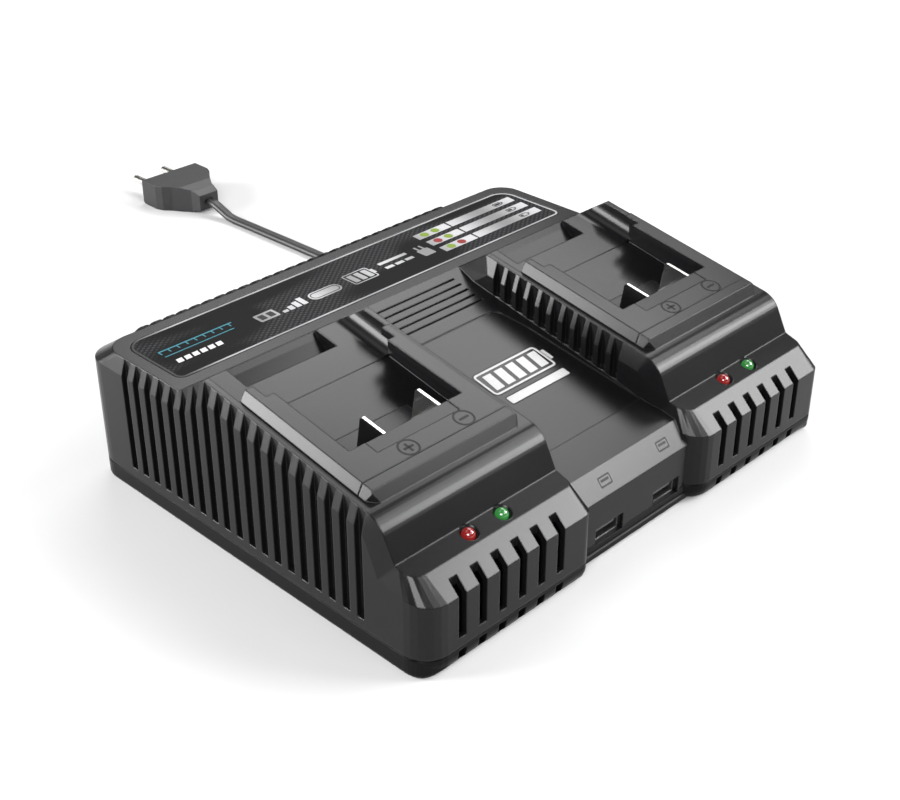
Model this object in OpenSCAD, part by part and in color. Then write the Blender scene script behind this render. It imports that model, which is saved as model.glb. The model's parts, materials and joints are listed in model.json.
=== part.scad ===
// Dual bay battery charger with two USB outlets, label strip, status lights and a mains lead.
// Millimetres. +Z is up, +Y runs from the front to the back, +X to the right.
// The origin is on the surface that the charger stands on, under the middle of its case.
// Inside the modules, y counts from the front plane; from_front() moves the result to the origin.

/* [Case] */
// Width over both battery towers
case_w = 223; // [214:1:240]
// Depth from the front plane to the rear wall
case_d = 184; // [180:1:200]
// Height of the label plane at the back
label_z = 58.4; // [57:0.2:60]
// Height of the joint between the two halves of the case
part_z = 8.3; // [7.6:0.1:9.6]
// Thickness of the case walls
wall = 2.5; // [1.8:0.1:3]
// Radius of the rear corners seen from above
rear_r = 11; // [6:0.5:14]
// Radius of the front left corner of each tower
front_left_r = 10; // [7:0.5:10]
// Radius of the front right corner of each tower
front_right_r = 4; // [2.5:0.5:4.5]
// Height of the underside of the case above the surface
ground_gap = 1; // [0.6:0.1:1.6]
// Depth of the shadow line round the joint of the case
joint_step = 0.5; // [0.3:0.1:0.8]

/* [Towers] */
// Width of one tower
tower_w = 81.6; // [81:0.2:84]
// Height of the front wall up to its chamfer
front_z = 29.1; // [28:0.1:30]
// Depth and rise of the front chamfer
front_chamfer = 8.3; // [7.5:0.1:8.6]
// Distance of the shelf crease behind the front plane
shelf_end = 15.9; // [15.4:0.1:17]
// Height of the shelf crease
shelf_z = 39.8; // [39.2:0.1:41]
// Inward run of the chamfer along the sides
side_chamfer = 2.3; // [2:0.1:2.4]
// Drop of the chamfer along the sides
side_drop = 6.7; // [6:0.1:7]
// Height of the deck plane carried forward to the front plane
deck_z = 49.4; // [48.8:0.1:50.4]
// Rise of the deck per millimetre of depth
deck_slope = 0.177; // [0.17:0.001:0.182]
// Distance of the deck's rear ridge behind the front plane
ridge_y = 110.4; // [109:0.2:112]
// Distance of the label plane's front crease behind the front plane
crease_y = 126; // [125.4:0.2:127.4]

/* [Centre] */
// Distance of the centre front wall behind the front plane
centre_y = 5.2; // [4.6:0.1:5.6]
// Height of the centre front wall up to its chamfer
centre_z = 26.1; // [25:0.1:27]
// Distance of the centre chamfer's top edge behind the front plane
centre_top_y = 12; // [11:0.2:13]
// Height of the centre chamfer's top edge
centre_top_z = 34.4; // [33.6:0.1:35]
// Depth of the recessed badge panel
panel_depth = 0.6; // [0.3:0.1:0.9]
// Number of grooves behind the badge panel
groove_count = 5; // [3:1:6]
// Spacing of those grooves
groove_pitch = 4.05; // [3.6:0.05:4.3]

/* [Vents] */
// Spacing of the front vents
front_pitch = 9.6; // [9:0.1:9.8]
// Number of front vents in each tower
front_count = 6; // [4:1:6]
// Width of the front vents
front_slot = 3.6; // [2.8:0.1:4.2]
// Spacing of the vents along the outer sides
side_pitch = 7.05; // [6.6:0.05:7.1]
// Number of vents along each outer side
side_count = 19; // [12:1:19]
// Width of the vents along the outer sides
side_slot = 3.5; // [2.8:0.1:4]
// Spacing of the vents along the inner sides
inner_pitch = 6.1; // [5.8:0.05:6.15]
// Number of vents along each inner side
inner_count = 11; // [8:1:11]
// Width of the vents along the inner sides
inner_slot = 3.8; // [3:0.1:4]
// Spacing of the vents along the rear wall
rear_pitch = 6.1; // [5.8:0.05:6.2]
// Number of vents along the rear wall
rear_count = 31; // [21:2:31]
// Width of the vents along the rear wall
rear_slot = 3.2; // [2.6:0.1:3.6]
// Height of the lower end of all vents
vent_z = 12; // [11:0.1:13]

/* [Battery bays] */
// Height of the slide plate above the deck
pad_rise = 3.8; // [3.2:0.1:4]
// Width of the slide plate at deck level
pad_w = 71; // [70:0.2:71.2]
// Inward lean of the slide plate's flanks
pad_lean = 2.1; // [1.6:0.1:2.6]
// Distance of the pad's front foot behind the front plane
pad_front = 28.6; // [28.4:0.1:29.4]
// Distance of the seam between case and slide plate behind the front plane
seam_y = 35.5; // [35:0.1:37]
// Distance of the pad's rear top edge behind the front plane
pad_rear = 90.5; // [89:0.2:92]
// Gap between the two rail lips
lip_gap = 52.7; // [51:0.1:54]
// Gap between the rail lips in the lead-in notch
notch_gap = 60; // [58:0.2:62]
// Length of the lead-in notch
notch_len = 3.6; // [2.8:0.1:4.4]
// Width of the channel under the rail lips
groove_w = 66.4; // [65.8:0.1:67]
// Width of the open channel behind the slide plate
channel_w = 72; // [71.6:0.1:72.4]
// Radius between the channel's floor and its walls
channel_r = 6; // [4:0.5:7]
// Height of the channel floor at the contacts
floor_z = 50.3; // [49.8:0.1:50.8]
// Distance of the terminal wall behind the front plane
stop_y = 49.7; // [49:0.1:50.4]
// Distance behind the front plane where the floor begins to rise
floor_y = 63.8; // [63:0.2:64.6]
// Rise of the channel floor per millimetre of depth
floor_slope = 0.207; // [0.2:0.001:0.21]
// Width of the latch recess
latch_w = 42.4; // [36:0.4:46]
// Distance of the latch wall behind the front plane
latch_y = 109.2; // [108.4:0.2:110]
// Depth of the latch recess at its wall
latch_depth = 7.2; // [5:0.1:7.6]
// Thickness of the slide plate's floor
plate_floor = 2.2; // [1.6:0.1:2.4]

/* [Contacts] */
// Length of a contact blade in front of the terminal wall
blade_len = 13.7; // [12:0.1:14]
// Lean of a blade's free end, from its foot to its top
blade_lean = 2.3; // [1.6:0.1:3]
// Thickness of a contact blade
blade_t = 1.2; // [0.8:0.1:1.6]
// Distance of the left blade from the middle of the bay
blade_left = 10.4; // [9:0.1:12]
// Distance of the right blade from the middle of the bay
blade_right = 15.5; // [14:0.1:17]
// Width of the terminal block
terminal_w = 38; // [36:0.2:40]
// Thickness of the terminal block's upright part
terminal_t = 5.8; // [5:0.1:6.4]
// Depth of the terminal block's seat below the channel floor
terminal_drop = 1; // [0.6:0.1:1.4]
// Length of the terminal block's floor plate
terminal_floor = 20.4; // [19:0.1:22]

/* [Lights] */
// Diameter of a status light
led_d = 5; // [4:0.1:5.2]
// Distance of each status light from the middle of its tower
led_x = 8; // [7:0.1:12]
// Distance of the status lights behind the front plane
led_y = 12.8; // [12.4:0.1:13.2]
// Diameter of the countersunk ring round a status light
led_ring = 7; // [6.4:0.1:7.4]

/* [USB outlets] */
// Distance of the pair of USB outlets from the middle of the case, to the right
usb_mid = 2.8; // [0:0.1:3.4]
// Distance of each outlet from the middle of the pair
usb_x = 16.5; // [15:0.1:17]
// Height of the middle of the USB outlets
usb_z = 10.6; // [10.2:0.1:11]
// Width of the moulded recess round a USB outlet
usb_recess_w = 15.4; // [15:0.1:16.4]
// Height of the moulded recess round a USB outlet
usb_recess_h = 7; // [6.8:0.1:7.4]
// Outer width of the metal shell
usb_w = 13.1; // [12.8:0.1:13.4]
// Outer height of the metal shell
usb_h = 5.7; // [5.4:0.1:5.8]
// Length of the metal shell
usb_len = 14; // [12:0.2:16]
// Thickness of the metal shell
usb_t = 0.4; // [0.3:0.05:0.5]

/* [Label] */
// Width of the label plate
label_w = 208; // [200:1:210]
// Depth of the label plate, front to back
label_d = 36; // [34:0.2:37]
// Distance of the label plate's front edge behind the crease
label_gap = 6.3; // [5.6:0.1:7]
// Thickness of the label plate
label_t = 0.8; // [0.5:0.1:1]

/* [Fan] */
// Side of the square cooling fan
fan_w = 40; // [38:0.5:40.5]
// Thickness of the cooling fan
fan_t = 10; // [9:0.5:11]
// Distance of the fan from the middle of the case
fan_x = -62; // [-66:0.5:-56]
// Number of fan blades
fan_blades = 7; // [5:1:9]
// Diameter of the fan hub
fan_hub_d = 17; // [15:0.5:19]
// Diameter of the fan shaft
fan_shaft_d = 2; // [1.6:0.1:2.6]

/* [Feet and screws] */
// Diameter of a rubber foot
foot_d = 14; // [11:0.5:16]
// Diameter of a case screw
screw_d = 3; // [2.6:0.1:3.4]
// Diameter of a case screw's head
screw_head_d = 5.6; // [5:0.1:6]

/* [Mains lead] */
// Width of the flat twin lead
cord_w = 5.5; // [5.2:0.1:5.6]
// Thickness of the flat twin lead
cord_t = 3.5; // [3.3:0.05:3.55]
// Length of the tapered part of the strain relief
boot_len = 22; // [20:0.5:23]
// Distance of the strain relief from the middle of the case
boot_x = 84; // [80:0.5:86]
// Height of the middle of the strain relief
boot_z = 9.5; // [9.3:0.1:10.5]
// Radius of the strain relief at the wall
boot_r = 5.2; // [4.8:0.1:5.4]

/* [Hidden] */
$fn = 48;

// Small overlap that makes cuts run past a face
eps = 0.01;
// Clearance between pieces that are laid into each other
fit = 0.2;

tower_x = (case_w - tower_w) / 2;
half_w = tower_w / 2;
half_case = case_w / 2;

// Heights on the sloping planes, at distance y behind the front plane
function deck_at(y) = deck_z + deck_slope * y;
function pad_at(y) = deck_at(y) + pad_rise;
function floor_at(y) = floor_z + floor_slope * max(0, y - floor_y);
function centre_at(y) =
    centre_top_z + (label_z - centre_top_z) * (y - centre_top_y) / (crease_y - centre_top_y);
front_top_z = front_z + front_chamfer;
shelf_slope = (shelf_z - front_top_z) / (shelf_end - front_chamfer);
function shelf_at(y) = front_top_z + shelf_slope * (y - front_chamfer);

// Points of an arc about c, from angle a0 to angle a1 in n steps
function arc(c, r, a0, a1, n) =
    [for (i = [0:n]) let (a = a0 + (a1 - a0) * i / n) [c[0] + r * cos(a), c[1] + r * sin(a)]];

// Moves a shape that counts y from the front plane to the origin of the part
module from_front() { translate([0, -case_d / 2, 0]) children(); }

// One shape for each tower: side is -1 on the left and 1 on the right
module at_tower(side) { translate([side * tower_x, 0, 0]) children(); }

// Prism along X, from a profile of [y, z] points
module along_x(half, profile) {
    rotate([90, 0, 90])
        translate([0, 0, -half])
            linear_extrude(2 * half)
                polygon(profile);
}

// Solid between rings of equally many points, which run clockwise when seen from the last ring's side;
// the last ring is closed by the faces in cap, or by one face
module skin(rings, cap = []) {
    n = len(rings[0]);
    last = len(rings) - 1;
    sides = [for (k = [0:last - 1]) for (i = [0:n - 1])
        let (a = k * n + i, b = k * n + (i + 1) % n)
        each [[a, b, b + n], [a, b + n, a + n]]];
    bottom = [[for (i = [0:n - 1]) n - 1 - i]];
    top = len(cap) > 0
        ? [for (face = cap) [for (i = face) last * n + i]]
        : [[for (i = [0:n - 1]) last * n + i]];
    polyhedron(points = [for (r = rings) each r], faces = concat(bottom, sides, top), convexity = 6);
}

// Route of the lead, [x, distance from the front, height]: from the strain relief down to the surface and
// into the coil, then from the top of the coil over itself, along the surface and up into the plug
coil_spot = [43, 222];
plug_spot = [73.3, 354];
lead_in = [
    [84, 206, 9.5], [84, 210, 9.3], [84, 215, 8.1], [84, 220, 5.7], [83.5, 225, 3.2], [82.4, 229, 2.1],
    [81, 233, 1.8], [78.2, 238.4, 1.75], [71.7, 246, 1.75], [63.7, 251.6, 1.75]];
lead_out = [
    [74, 210.7, 5.25], [76, 222, 5.25], [76.2, 234, 5.25], [76.3, 246, 5.25], [76.4, 250.5, 4.8],
    [76.4, 255, 3.5], [76.4, 259.5, 2.2], [76.3, 264, 1.75], [76, 275, 1.75], [75.5, 290, 1.75],
    [75, 305, 1.75], [74.5, 320, 1.75], [74, 332.5, 1.75], [73.8, 337.5, 2.3], [73.6, 343, 4.3],
    [73.4, 348.5, 6.3], [73.3, 354, 6.85]];

// ---- Outline and form of the case ----

// The tower's side, from the back to the front, as rows of the chamfer's lower and upper edge:
// [inset, y, z] of the lower edge, then [inset, y, z] of the upper edge; r is the front corner
block_end = crease_y + 12;
low_y = shelf_end + 5.8;
low_z = front_z + 3.6;
low_slope = (low_z - front_z) / low_y;
// Slope of the rise behind the lights, and the radius between it and the deck
steep = 1.915;
roll_r = 10.5;
roll_steps = 8;
corner_steps = 6;
roll_c_y = (deck_z - shelf_z + steep * shelf_end
    + roll_r * (sqrt(1 + steep * steep) - sqrt(1 + deck_slope * deck_slope))) / (steep - deck_slope);
roll_c_z = deck_at(roll_c_y) - roll_r * sqrt(1 + deck_slope * deck_slope);
roll = arc([roll_c_y, roll_c_z], roll_r, 90 + atan(deck_slope), 90 + atan(steep), roll_steps);
low_deck_y = roll[0][0] + 2;
low_steep_y = low_y + 5.4;
low_steep_z = low_z + 12.3;

function corner_rows(r) =
    let (top_r = 0.6 * r,
         low = arc([r, r], r, 180, 270, corner_steps),
         top = arc([side_chamfer + top_r, front_chamfer + top_r], top_r, 180, 270, corner_steps))
    [for (i = [0:corner_steps])
        [low[i][0], low[i][1], front_z + low_slope * low[i][1],
         top[i][0], top[i][1], shelf_at(top[i][1])]];

function side_rows(r) = concat(
    [[0, block_end, label_z - side_drop, side_chamfer, block_end, label_z],
     [0, crease_y - 4, label_z - side_drop, side_chamfer, crease_y, label_z],
     [0, ridge_y - 3, deck_at(ridge_y - 3) - side_drop, side_chamfer, ridge_y, deck_at(ridge_y)]],
    [for (i = [0:roll_steps]) let (t = i / roll_steps, low_deck_z = deck_at(low_deck_y) - side_drop)
        [0, low_deck_y + t * (low_steep_y - low_deck_y), low_deck_z + t * (low_steep_z - low_deck_z),
         side_chamfer, roll[i][0], roll[i][1]]],
    [[0, low_y, low_z, side_chamfer, shelf_end, shelf_z]],
    corner_rows(r));

// One tower, as ribs across it that run from the back to the front
module tower_form() {
    left = side_rows(front_left_r);
    right = side_rows(front_right_r);
    skin([for (i = [0:len(left) - 1])
        let (a = left[i], b = right[i])
        [[-half_w + a[0], a[1], part_z], [-half_w + a[0], a[1], a[2]], [-half_w + a[3], a[4], a[5]],
         [half_w - b[3], b[4], b[5]], [half_w - b[0], b[1], b[2]], [half_w - b[0], b[1], part_z]]],
        cap = [[0, 1, 4, 5], [1, 2, 3, 4]]);
}

// The block that carries the label, rounded at its rear corners and chamfered all round
rear_run = 10.2;
rear_steps = 8;
function block_ring(z, inset, back, r) = concat(
    [[-half_case + inset, crease_y, z]],
    [for (p = arc([-half_case + inset + r, back - r], r, 180, 90, rear_steps)) [p[0], p[1], z]],
    [for (p = arc([half_case - inset - r, back - r], r, 90, 0, rear_steps)) [p[0], p[1], z]],
    [[half_case - inset, crease_y, z]]);

module rear_block_form() {
    skin([block_ring(part_z, 0, case_d, rear_r),
          block_ring(label_z - side_drop, 0, case_d, rear_r),
          block_ring(label_z, side_chamfer, case_d - rear_run, rear_r - 1)]);
}

// The valley between the towers
centre_half = tower_x - half_w + side_chamfer;
module centre_form() {
    along_x(centre_half, [
        [centre_y, part_z], [centre_y, centre_z], [centre_top_y, centre_top_z],
        [crease_y, label_z], [block_end, label_z], [block_end, part_z]]);
}

// The case seen from above, moved inwards by inset, with the centre wall set back between the towers
function tower_front(x0, x1, r0, r1, inset) = concat(
    arc([x0 + r0, r0], r0 - inset, 180, 270, corner_steps),
    arc([x1 - r1, r1], r1 - inset, 270, 360, corner_steps));

function case_outline(inset) =
    let (right_x = tower_x - half_w,
         back_y = centre_y + inset,
         start = 180 + asin((front_left_r - back_y) / (front_left_r - inset)))
    concat(
        arc([-half_case + rear_r, case_d - rear_r], rear_r - inset, 90, 180, rear_steps),
        tower_front(-half_case, -right_x, front_left_r, front_right_r, inset),
        [[-right_x - inset, back_y]],
        arc([right_x + front_left_r, front_left_r], front_left_r - inset, start, 270, corner_steps),
        arc([half_case - front_right_r, front_right_r], front_right_r - inset, 270, 360, corner_steps),
        arc([half_case - rear_r, case_d - rear_r], rear_r - inset, 0, 90, rear_steps));

// ---- Cuts that both halves of the case share ----

module front_vents(depth, z0, z1) {
    for (side = [-1, 1]) at_tower(side)
        for (i = [0:front_count - 1])
            translate([(i - (front_count - 1) / 2) * front_pitch - front_slot / 2, -1, z0])
                cube([front_slot, depth + 1, z1 - z0]);
}

// Moulded recesses round the USB outlets, and the openings that the metal shells pass through
usb_recess = 1.6;
module usb_openings() {
    for (side = [-1, 1]) translate([usb_mid + side * usb_x, 0, usb_z]) {
        translate([-usb_recess_w / 2, centre_y - 1, -usb_recess_h / 2])
            cube([usb_recess_w, usb_recess + 1, usb_recess_h]);
        translate([-usb_w / 2 - fit, centre_y, -usb_h / 2 - fit])
            cube([usb_w + 2 * fit, 3 * wall, usb_h + 2 * fit]);
    }
}

// Places of the screws that join the halves of the case
screw_x = half_case - 9;
screw_spots = [[-screw_x, 17], [screw_x, 17], [-screw_x, case_d - 11], [screw_x, case_d - 11],
               [0, 34], [0, case_d - 11]];
foot_spots = [[-84, 26], [84, 26], [-84, case_d - 24], [84, case_d - 24]];
boss_d = 8;
tray_floor = ground_gap + wall;
head_seat = tray_floor - 1;
foot_recess = 0.8;

module at_screws() { for (p = screw_spots) translate([p[0], p[1], 0]) children(); }
module at_feet() { for (p = foot_spots) translate([p[0], p[1], 0]) children(); }

// ---- Lower half of the case ----

tray_inset = wall + 0.3;
board_z = tray_floor + 5.5;
usb_board_z = usb_z - usb_h / 2;
board_t = 1.6;
board_side_gap = 19.5;
board_front = 60;
board_back_gap = 18;
post_inset_x = 14;
post_inset_y = 10;
post_d = 6;
post_spots = [for (x = [-1, 0, 1], y = [board_front + post_inset_y, case_d - board_back_gap - post_inset_y])
    [x * (half_case - board_side_gap - post_inset_x), y]];
usb_post_x = 24;
usb_post_y = 18;

// Bar along the foot of the centre wall, [y, z], and how far it runs under each tower
bar_top = 4.3;
bar_left = 3.5;
bar_right = 5.5;
centre_bar = [
    [centre_y + wall + 1.2, ground_gap + 0.2], [centre_y + 0.4, ground_gap + 0.2],
    [centre_y - joint_step, ground_gap + 1], [centre_y - joint_step, bar_top - 0.4], [centre_y, bar_top],
    [centre_y + wall / 2, bar_top]];

// Edge of the tray from above the joint to below the underside, as [height, inset]
tray_edge = [
    [part_z + 1, joint_step], [part_z - 0.6, joint_step], [part_z - 0.6, 0],
    [ground_gap + 4.8, 0], [ground_gap + 3.4, 0.2], [ground_gap + 1.7, 0.8],
    [ground_gap + 0.6, 1.9], [ground_gap - 0.4, 3.7]];

module tray_form() {
    intersection() {
        skin([for (row = tray_edge) [for (p = case_outline(row[1])) [p[0], p[1], row[0]]]]);
        translate([-case_w, -case_d, ground_gap]) cube([2 * case_w, 3 * case_d, part_z - ground_gap]);
    }
}

module lower_case() color([0.07, 0.07, 0.075]) from_front() {
    difference() {
        tray_form();
        translate([0, 0, tray_floor])
            linear_extrude(part_z)
                polygon(case_outline(tray_inset));
        front_vents(tray_inset + 0.4, ground_gap + 1.2, part_z - 1.4);
        usb_openings();
        boot_opening();
        at_screws() {
            translate([0, 0, -1]) cylinder(d = screw_d + fit, h = 2 * part_z);
            translate([0, 0, -1]) cylinder(d = screw_head_d + 2 * fit, h = 1 + head_seat);
        }
        at_feet() translate([0, 0, -1]) cylinder(d = foot_d + 2 * fit, h = 1 + ground_gap + foot_recess);
    }
    translate([(bar_right - bar_left) / 2, 0, 0])
        along_x(tower_x - half_w + (bar_left + bar_right) / 2, centre_bar);
    at_screws() difference() {
        translate([0, 0, tray_floor - 1]) cylinder(d = boss_d, h = part_z - tray_floor + 1);
        translate([0, 0, -1]) cylinder(d = screw_d + fit, h = 2 * part_z);
    }
    for (p = post_spots)
        translate([p[0], p[1], tray_floor - eps]) cylinder(d = post_d, h = board_z - tray_floor + eps);
    for (side = [-1, 1])
        translate([usb_mid + side * usb_post_x, usb_post_y, tray_floor - eps])
            cylinder(d = post_d, h = usb_board_z - board_t - tray_floor + eps);
}

// ---- Upper half of the case ----

pad_end = pad_rear + pad_rise;
well_z = floor_z - plate_floor;
ceiling_z = label_z - label_t - wall;
roof = wall + 0.7;
side_wall = wall + 0.7;
well_slope_end = floor_y + (ceiling_z - (well_z - wall)) / floor_slope;

// Hollow of a tower: under the front chamfer, shelf and roll, then under the battery bay and label
tower_hollow = [
    [wall, part_z - 1], [wall, front_z - 1.2],
    [front_chamfer + 1.2, front_top_z - roof - 0.3], [shelf_end + 2.2, shelf_z - roof + 0.3],
    [roll_c_y, roll_c_z + 2], [seam_y - wall - 1.5, roll_c_z + 2.4], [seam_y - wall - 1.5, well_z - wall],
    [floor_y, well_z - wall], [well_slope_end, ceiling_z],
    [case_d - rear_run - 1, ceiling_z], [case_d - wall, label_z - side_drop - 2.6],
    [case_d - wall, part_z - 1]];

centre_hollow = [
    [centre_y + wall, part_z - 1], [centre_y + wall, centre_z - 1],
    [centre_top_y + 1, centre_top_z - wall - 0.2], [crease_y - 10, centre_at(crease_y - 10) - wall - 1],
    [crease_y, ceiling_z], [case_d - rear_run - 1, ceiling_z],
    [case_d - wall, label_z - side_drop - 2.6], [case_d - wall, part_z - 1]];

module hollow() {
    intersection() {
        union() {
            for (side = [-1, 1]) at_tower(side)
                translate([-side * (side_wall - wall) / 2, 0, 0])
                    along_x(half_w - side_wall - 0.6, tower_hollow);
            along_x(tower_x - 8, centre_hollow);
        }
        translate([0, 0, part_z - 1])
            linear_extrude(label_z)
                polygon(case_outline(wall));
    }
}

// Section [x, h] pushed back along the sloping floor of the channel
module along_floor(length) {
    translate([0, floor_y, floor_z])
        rotate([atan(floor_slope), 0, 0])
            rotate([90, 0, 0])
                mirror([0, 0, 1])
                    linear_extrude(length)
                        children();
}

// Channel section with a rounded bottom, h high
module channel_section(w, h, r) {
    translate([-w / 2, r]) square([w, h - r]);
    translate([-w / 2 + r, 0]) square([w - 2 * r, h]);
    for (s = [-1, 1]) translate([s * (w / 2 - r), r]) circle(r);
}

bay_high = 40;
module rear_channel() {
    intersection() {
        along_floor(crease_y) channel_section(channel_w, bay_high, channel_r);
        translate([-half_w, pad_end - fit, 0]) cube([tower_w, crease_y - pad_end, 2 * label_z]);
    }
}

// Pocket in which the slide plate and the terminal block are seated
module plate_pocket() {
    along_x(pad_w / 2 + fit, [
        [seam_y, well_z], [floor_y, well_z],
        [pad_end, floor_at(pad_end) - plate_floor], [pad_end, 2 * label_z], [seam_y, 2 * label_z]]);
}

latch_run = 15;
module latch_recess() {
    along_x(latch_w / 2, [
        [latch_y, floor_at(latch_y) - latch_depth],
        [latch_y + 0.35 * latch_run, floor_at(latch_y + 0.35 * latch_run) - 0.78 * latch_depth],
        [latch_y + 0.7 * latch_run, floor_at(latch_y + 0.7 * latch_run) - 0.4 * latch_depth],
        [latch_y + latch_run, floor_at(latch_y + latch_run)],
        [latch_y + latch_run, 2 * label_z], [latch_y, 2 * label_z]]);
}

// Section [x, h] above the deck plane, pushed along it between two distances from the front
module along_deck(y0, y1) {
    intersection() {
        translate([0, 0, deck_z])
            rotate([atan(deck_slope), 0, 0])
                rotate([90, 0, 0])
                    mirror([0, 0, 1])
                        linear_extrude(2 * crease_y, center = true)
                            children();
        translate([-half_w, y0, 0]) cube([tower_w, y1 - y0, 2 * label_z]);
    }
}

// Raised pad, whose flanks lean inwards above the deck
module pad_block(y0, y1, below) {
    along_deck(y0, y1)
        polygon([[-pad_w / 2, -below], [pad_w / 2, -below], [pad_w / 2, 0],
                 [pad_w / 2 - pad_lean, pad_rise], [-pad_w / 2 + pad_lean, pad_rise], [-pad_w / 2, 0]]);
}

nose_r = 5;
module pad_nose() {
    difference() {
        pad_block(pad_front, seam_y, 6);
        along_x(half_w, [[pad_front - 1, 0], [pad_front, deck_at(pad_front)],
                         [pad_front + 2.5, pad_at(pad_front) + 0.4], [pad_front - 1, 2 * label_z]]);
        for (s = [-1, 1]) translate([s * pad_w / 2, pad_front, deck_at(pad_front)])
            rotate([0, 0, 45]) cube([nose_r, nose_r, 6 * pad_rise], center = true);
    }
}

// Vents along the sides: pockets as deep as the chamfer, open to the inside below the bay
through_z = well_z - wall - 3;
module side_vents() {
    for (side = [-1, 1], i = [0:side_count - 1]) {
        y = 157.3 + side_slot / 2 - side_slot - i * side_pitch;
        translate([side * half_case, y + side_slot / 2, 0]) {
            translate([-side_chamfer, -side_slot / 2, vent_z]) cube([2 * side_chamfer, side_slot, 2 * label_z]);
            translate([-side_wall - 1.4, -side_slot / 2, vent_z])
                cube([2 * side_wall, side_slot, through_z - vent_z]);
        }
    }
}

inner_first = 104.2;
module inner_vents() {
    for (side = [-1, 1], i = [0:inner_count - 1]) {
        y = inner_first - inner_slot - i * inner_pitch;
        translate([side * (tower_x - half_w) - side_chamfer, y, centre_at(y + inner_slot) + joint_step / 5])
            cube([2 * side_chamfer, inner_slot, label_z]);
    }
}

module rear_vents() {
    for (i = [0:rear_count - 1]) {
        x = (i - (rear_count - 1) / 2) * rear_pitch;
        if (abs(x - boot_x) > boot_r + rear_slot)
            translate([x - rear_slot / 2, case_d - rear_run, vent_z])
                cube([rear_slot, 2 * rear_run, 2 * label_z]);
    }
}

// Round opening for the strain relief, half in each part of the case
neck_r = 4.2;
module boot_opening() {
    translate([boot_x, case_d - 3 * wall, boot_z])
        rotate([-90, 0, 0])
            cylinder(r = neck_r + fit / 4, h = 6 * wall);
}

shelf_tilt = atan(shelf_slope);
module at_light(side, x) {
    at_tower(side) translate([x, led_y, shelf_at(led_y)]) rotate([shelf_tilt, 0, 0]) children();
}

module light_holes() {
    for (side = [-1, 1], s = [-1, 1]) at_light(side, s * led_x) {
        translate([0, 0, -8]) cylinder(d = led_d + fit, h = 16);
        translate([0, 0, -1.1]) cylinder(d1 = led_d + fit, d2 = led_ring + 0.6, h = 1.4);
    }
}

// Recessed panel between the towers, a little wider at the front, and the grooves behind it
panel_end = 97.5;
panel_start = 27.6;
panel_half = 24.4;
module centre_panel() {
    corner = 5;
    intersection() {
        linear_extrude(2 * label_z)
            polygon(concat(
                [[-centre_half + side_chamfer, panel_start], [centre_half - side_chamfer, panel_start],
                 [panel_half + 2, 82]],
                arc([panel_half - corner, panel_end - corner], corner, 0, 90, 5),
                arc([-panel_half + corner, panel_end - corner], corner, 90, 180, 5),
                [[-panel_half - 2, 82]]));
        along_x(half_case, [
            [centre_top_y, centre_at(centre_top_y) - panel_depth], [crease_y, label_z - panel_depth],
            [crease_y, 2 * label_z], [centre_top_y, 2 * label_z]]);
    }
}

groove_w_thin = 0.9;
groove_deep = 0.9;
module centre_grooves() {
    for (i = [0:groove_count - 1]) {
        y = 104.8 + i * groove_pitch;
        translate([-panel_half, y - groove_w_thin / 2, centre_at(y) - groove_deep])
            cube([2 * panel_half, groove_w_thin, 4]);
    }
}

module label_pocket() {
    translate([0, crease_y + label_gap + label_d / 2, label_z - label_t])
        linear_extrude(4) label_shape(0);
}

module label_shape(inset) {
    w = label_w - 2 * inset;
    d = label_d - 2 * inset;
    r_front = 3.5;
    r_back = 8;
    polygon(concat(
        arc([-w / 2 + r_front, -d / 2 + r_front], r_front, 180, 270, 5),
        arc([w / 2 - r_front, -d / 2 + r_front], r_front, 270, 360, 5),
        arc([w / 2 - r_back, d / 2 - r_back], r_back, 0, 90, 6),
        arc([-w / 2 + r_back, d / 2 - r_back], r_back, 90, 180, 6)));
}

module case_forms() {
    for (side = [-1, 1]) at_tower(side) tower_form();
    centre_form();
    rear_block_form();
}

// Posts that hang from the shelf and carry a light board
module light_posts() {
    for (side = [-1, 1], s = [-1, 1])
        at_light(side, s * light_post_x) translate([0, 0, -light_drop]) cylinder(d = 4, h = light_drop - 1);
}

module upper_case() color([0.16, 0.16, 0.165]) from_front() {
    difference() {
        union() {
            difference() {
                case_forms();
                hollow();
            }
            for (side = [-1, 1]) at_tower(side) {
                pad_nose();
                translate([-latch_w / 2 - wall, latch_y - wall, floor_at(latch_y) - latch_depth - wall])
                    cube([latch_w + 2 * wall, latch_run + 2 * wall, latch_depth]);
            }
            light_posts();
            intersection() {
                at_screws() translate([0, 0, part_z]) cylinder(d = boss_d, h = label_z);
                case_forms();
            }
        }
        for (side = [-1, 1]) at_tower(side) {
            plate_pocket();
            blade_roots(2 * fit);
            rear_channel();
            latch_recess();
        }
        side_vents();
        inner_vents();
        rear_vents();
        front_vents(4.7, vent_z, front_top_z);
        usb_openings();
        boot_opening();
        light_holes();
        centre_panel();
        centre_grooves();
        label_pocket();
        at_screws() translate([0, 0, part_z - 1]) cylinder(d = screw_d + fit, h = 16);
    }
}

module label_plate() color([0.1, 0.1, 0.11]) from_front() {
    translate([0, crease_y + label_gap + label_d / 2, label_z - label_t])
        linear_extrude(label_t - 0.1) label_shape(fit);
}

// ---- Battery bays ----

// Slide rails: the channel is wide below, the lips overhang it, with a lead-in notch at the back
lip_t = 3.2;
module rail_channel() {
    along_deck(stop_y, pad_end + 1) translate([-lip_gap / 2, -20]) square([lip_gap, 40]);
    along_deck(stop_y, pad_end + 1) translate([-groove_w / 2, -20]) square([groove_w, 20 + pad_rise - lip_t]);
    along_deck(pad_end - 2 * notch_len, pad_end + 1) translate([-notch_gap / 2, -20]) square([notch_gap, 40]);
}

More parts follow.
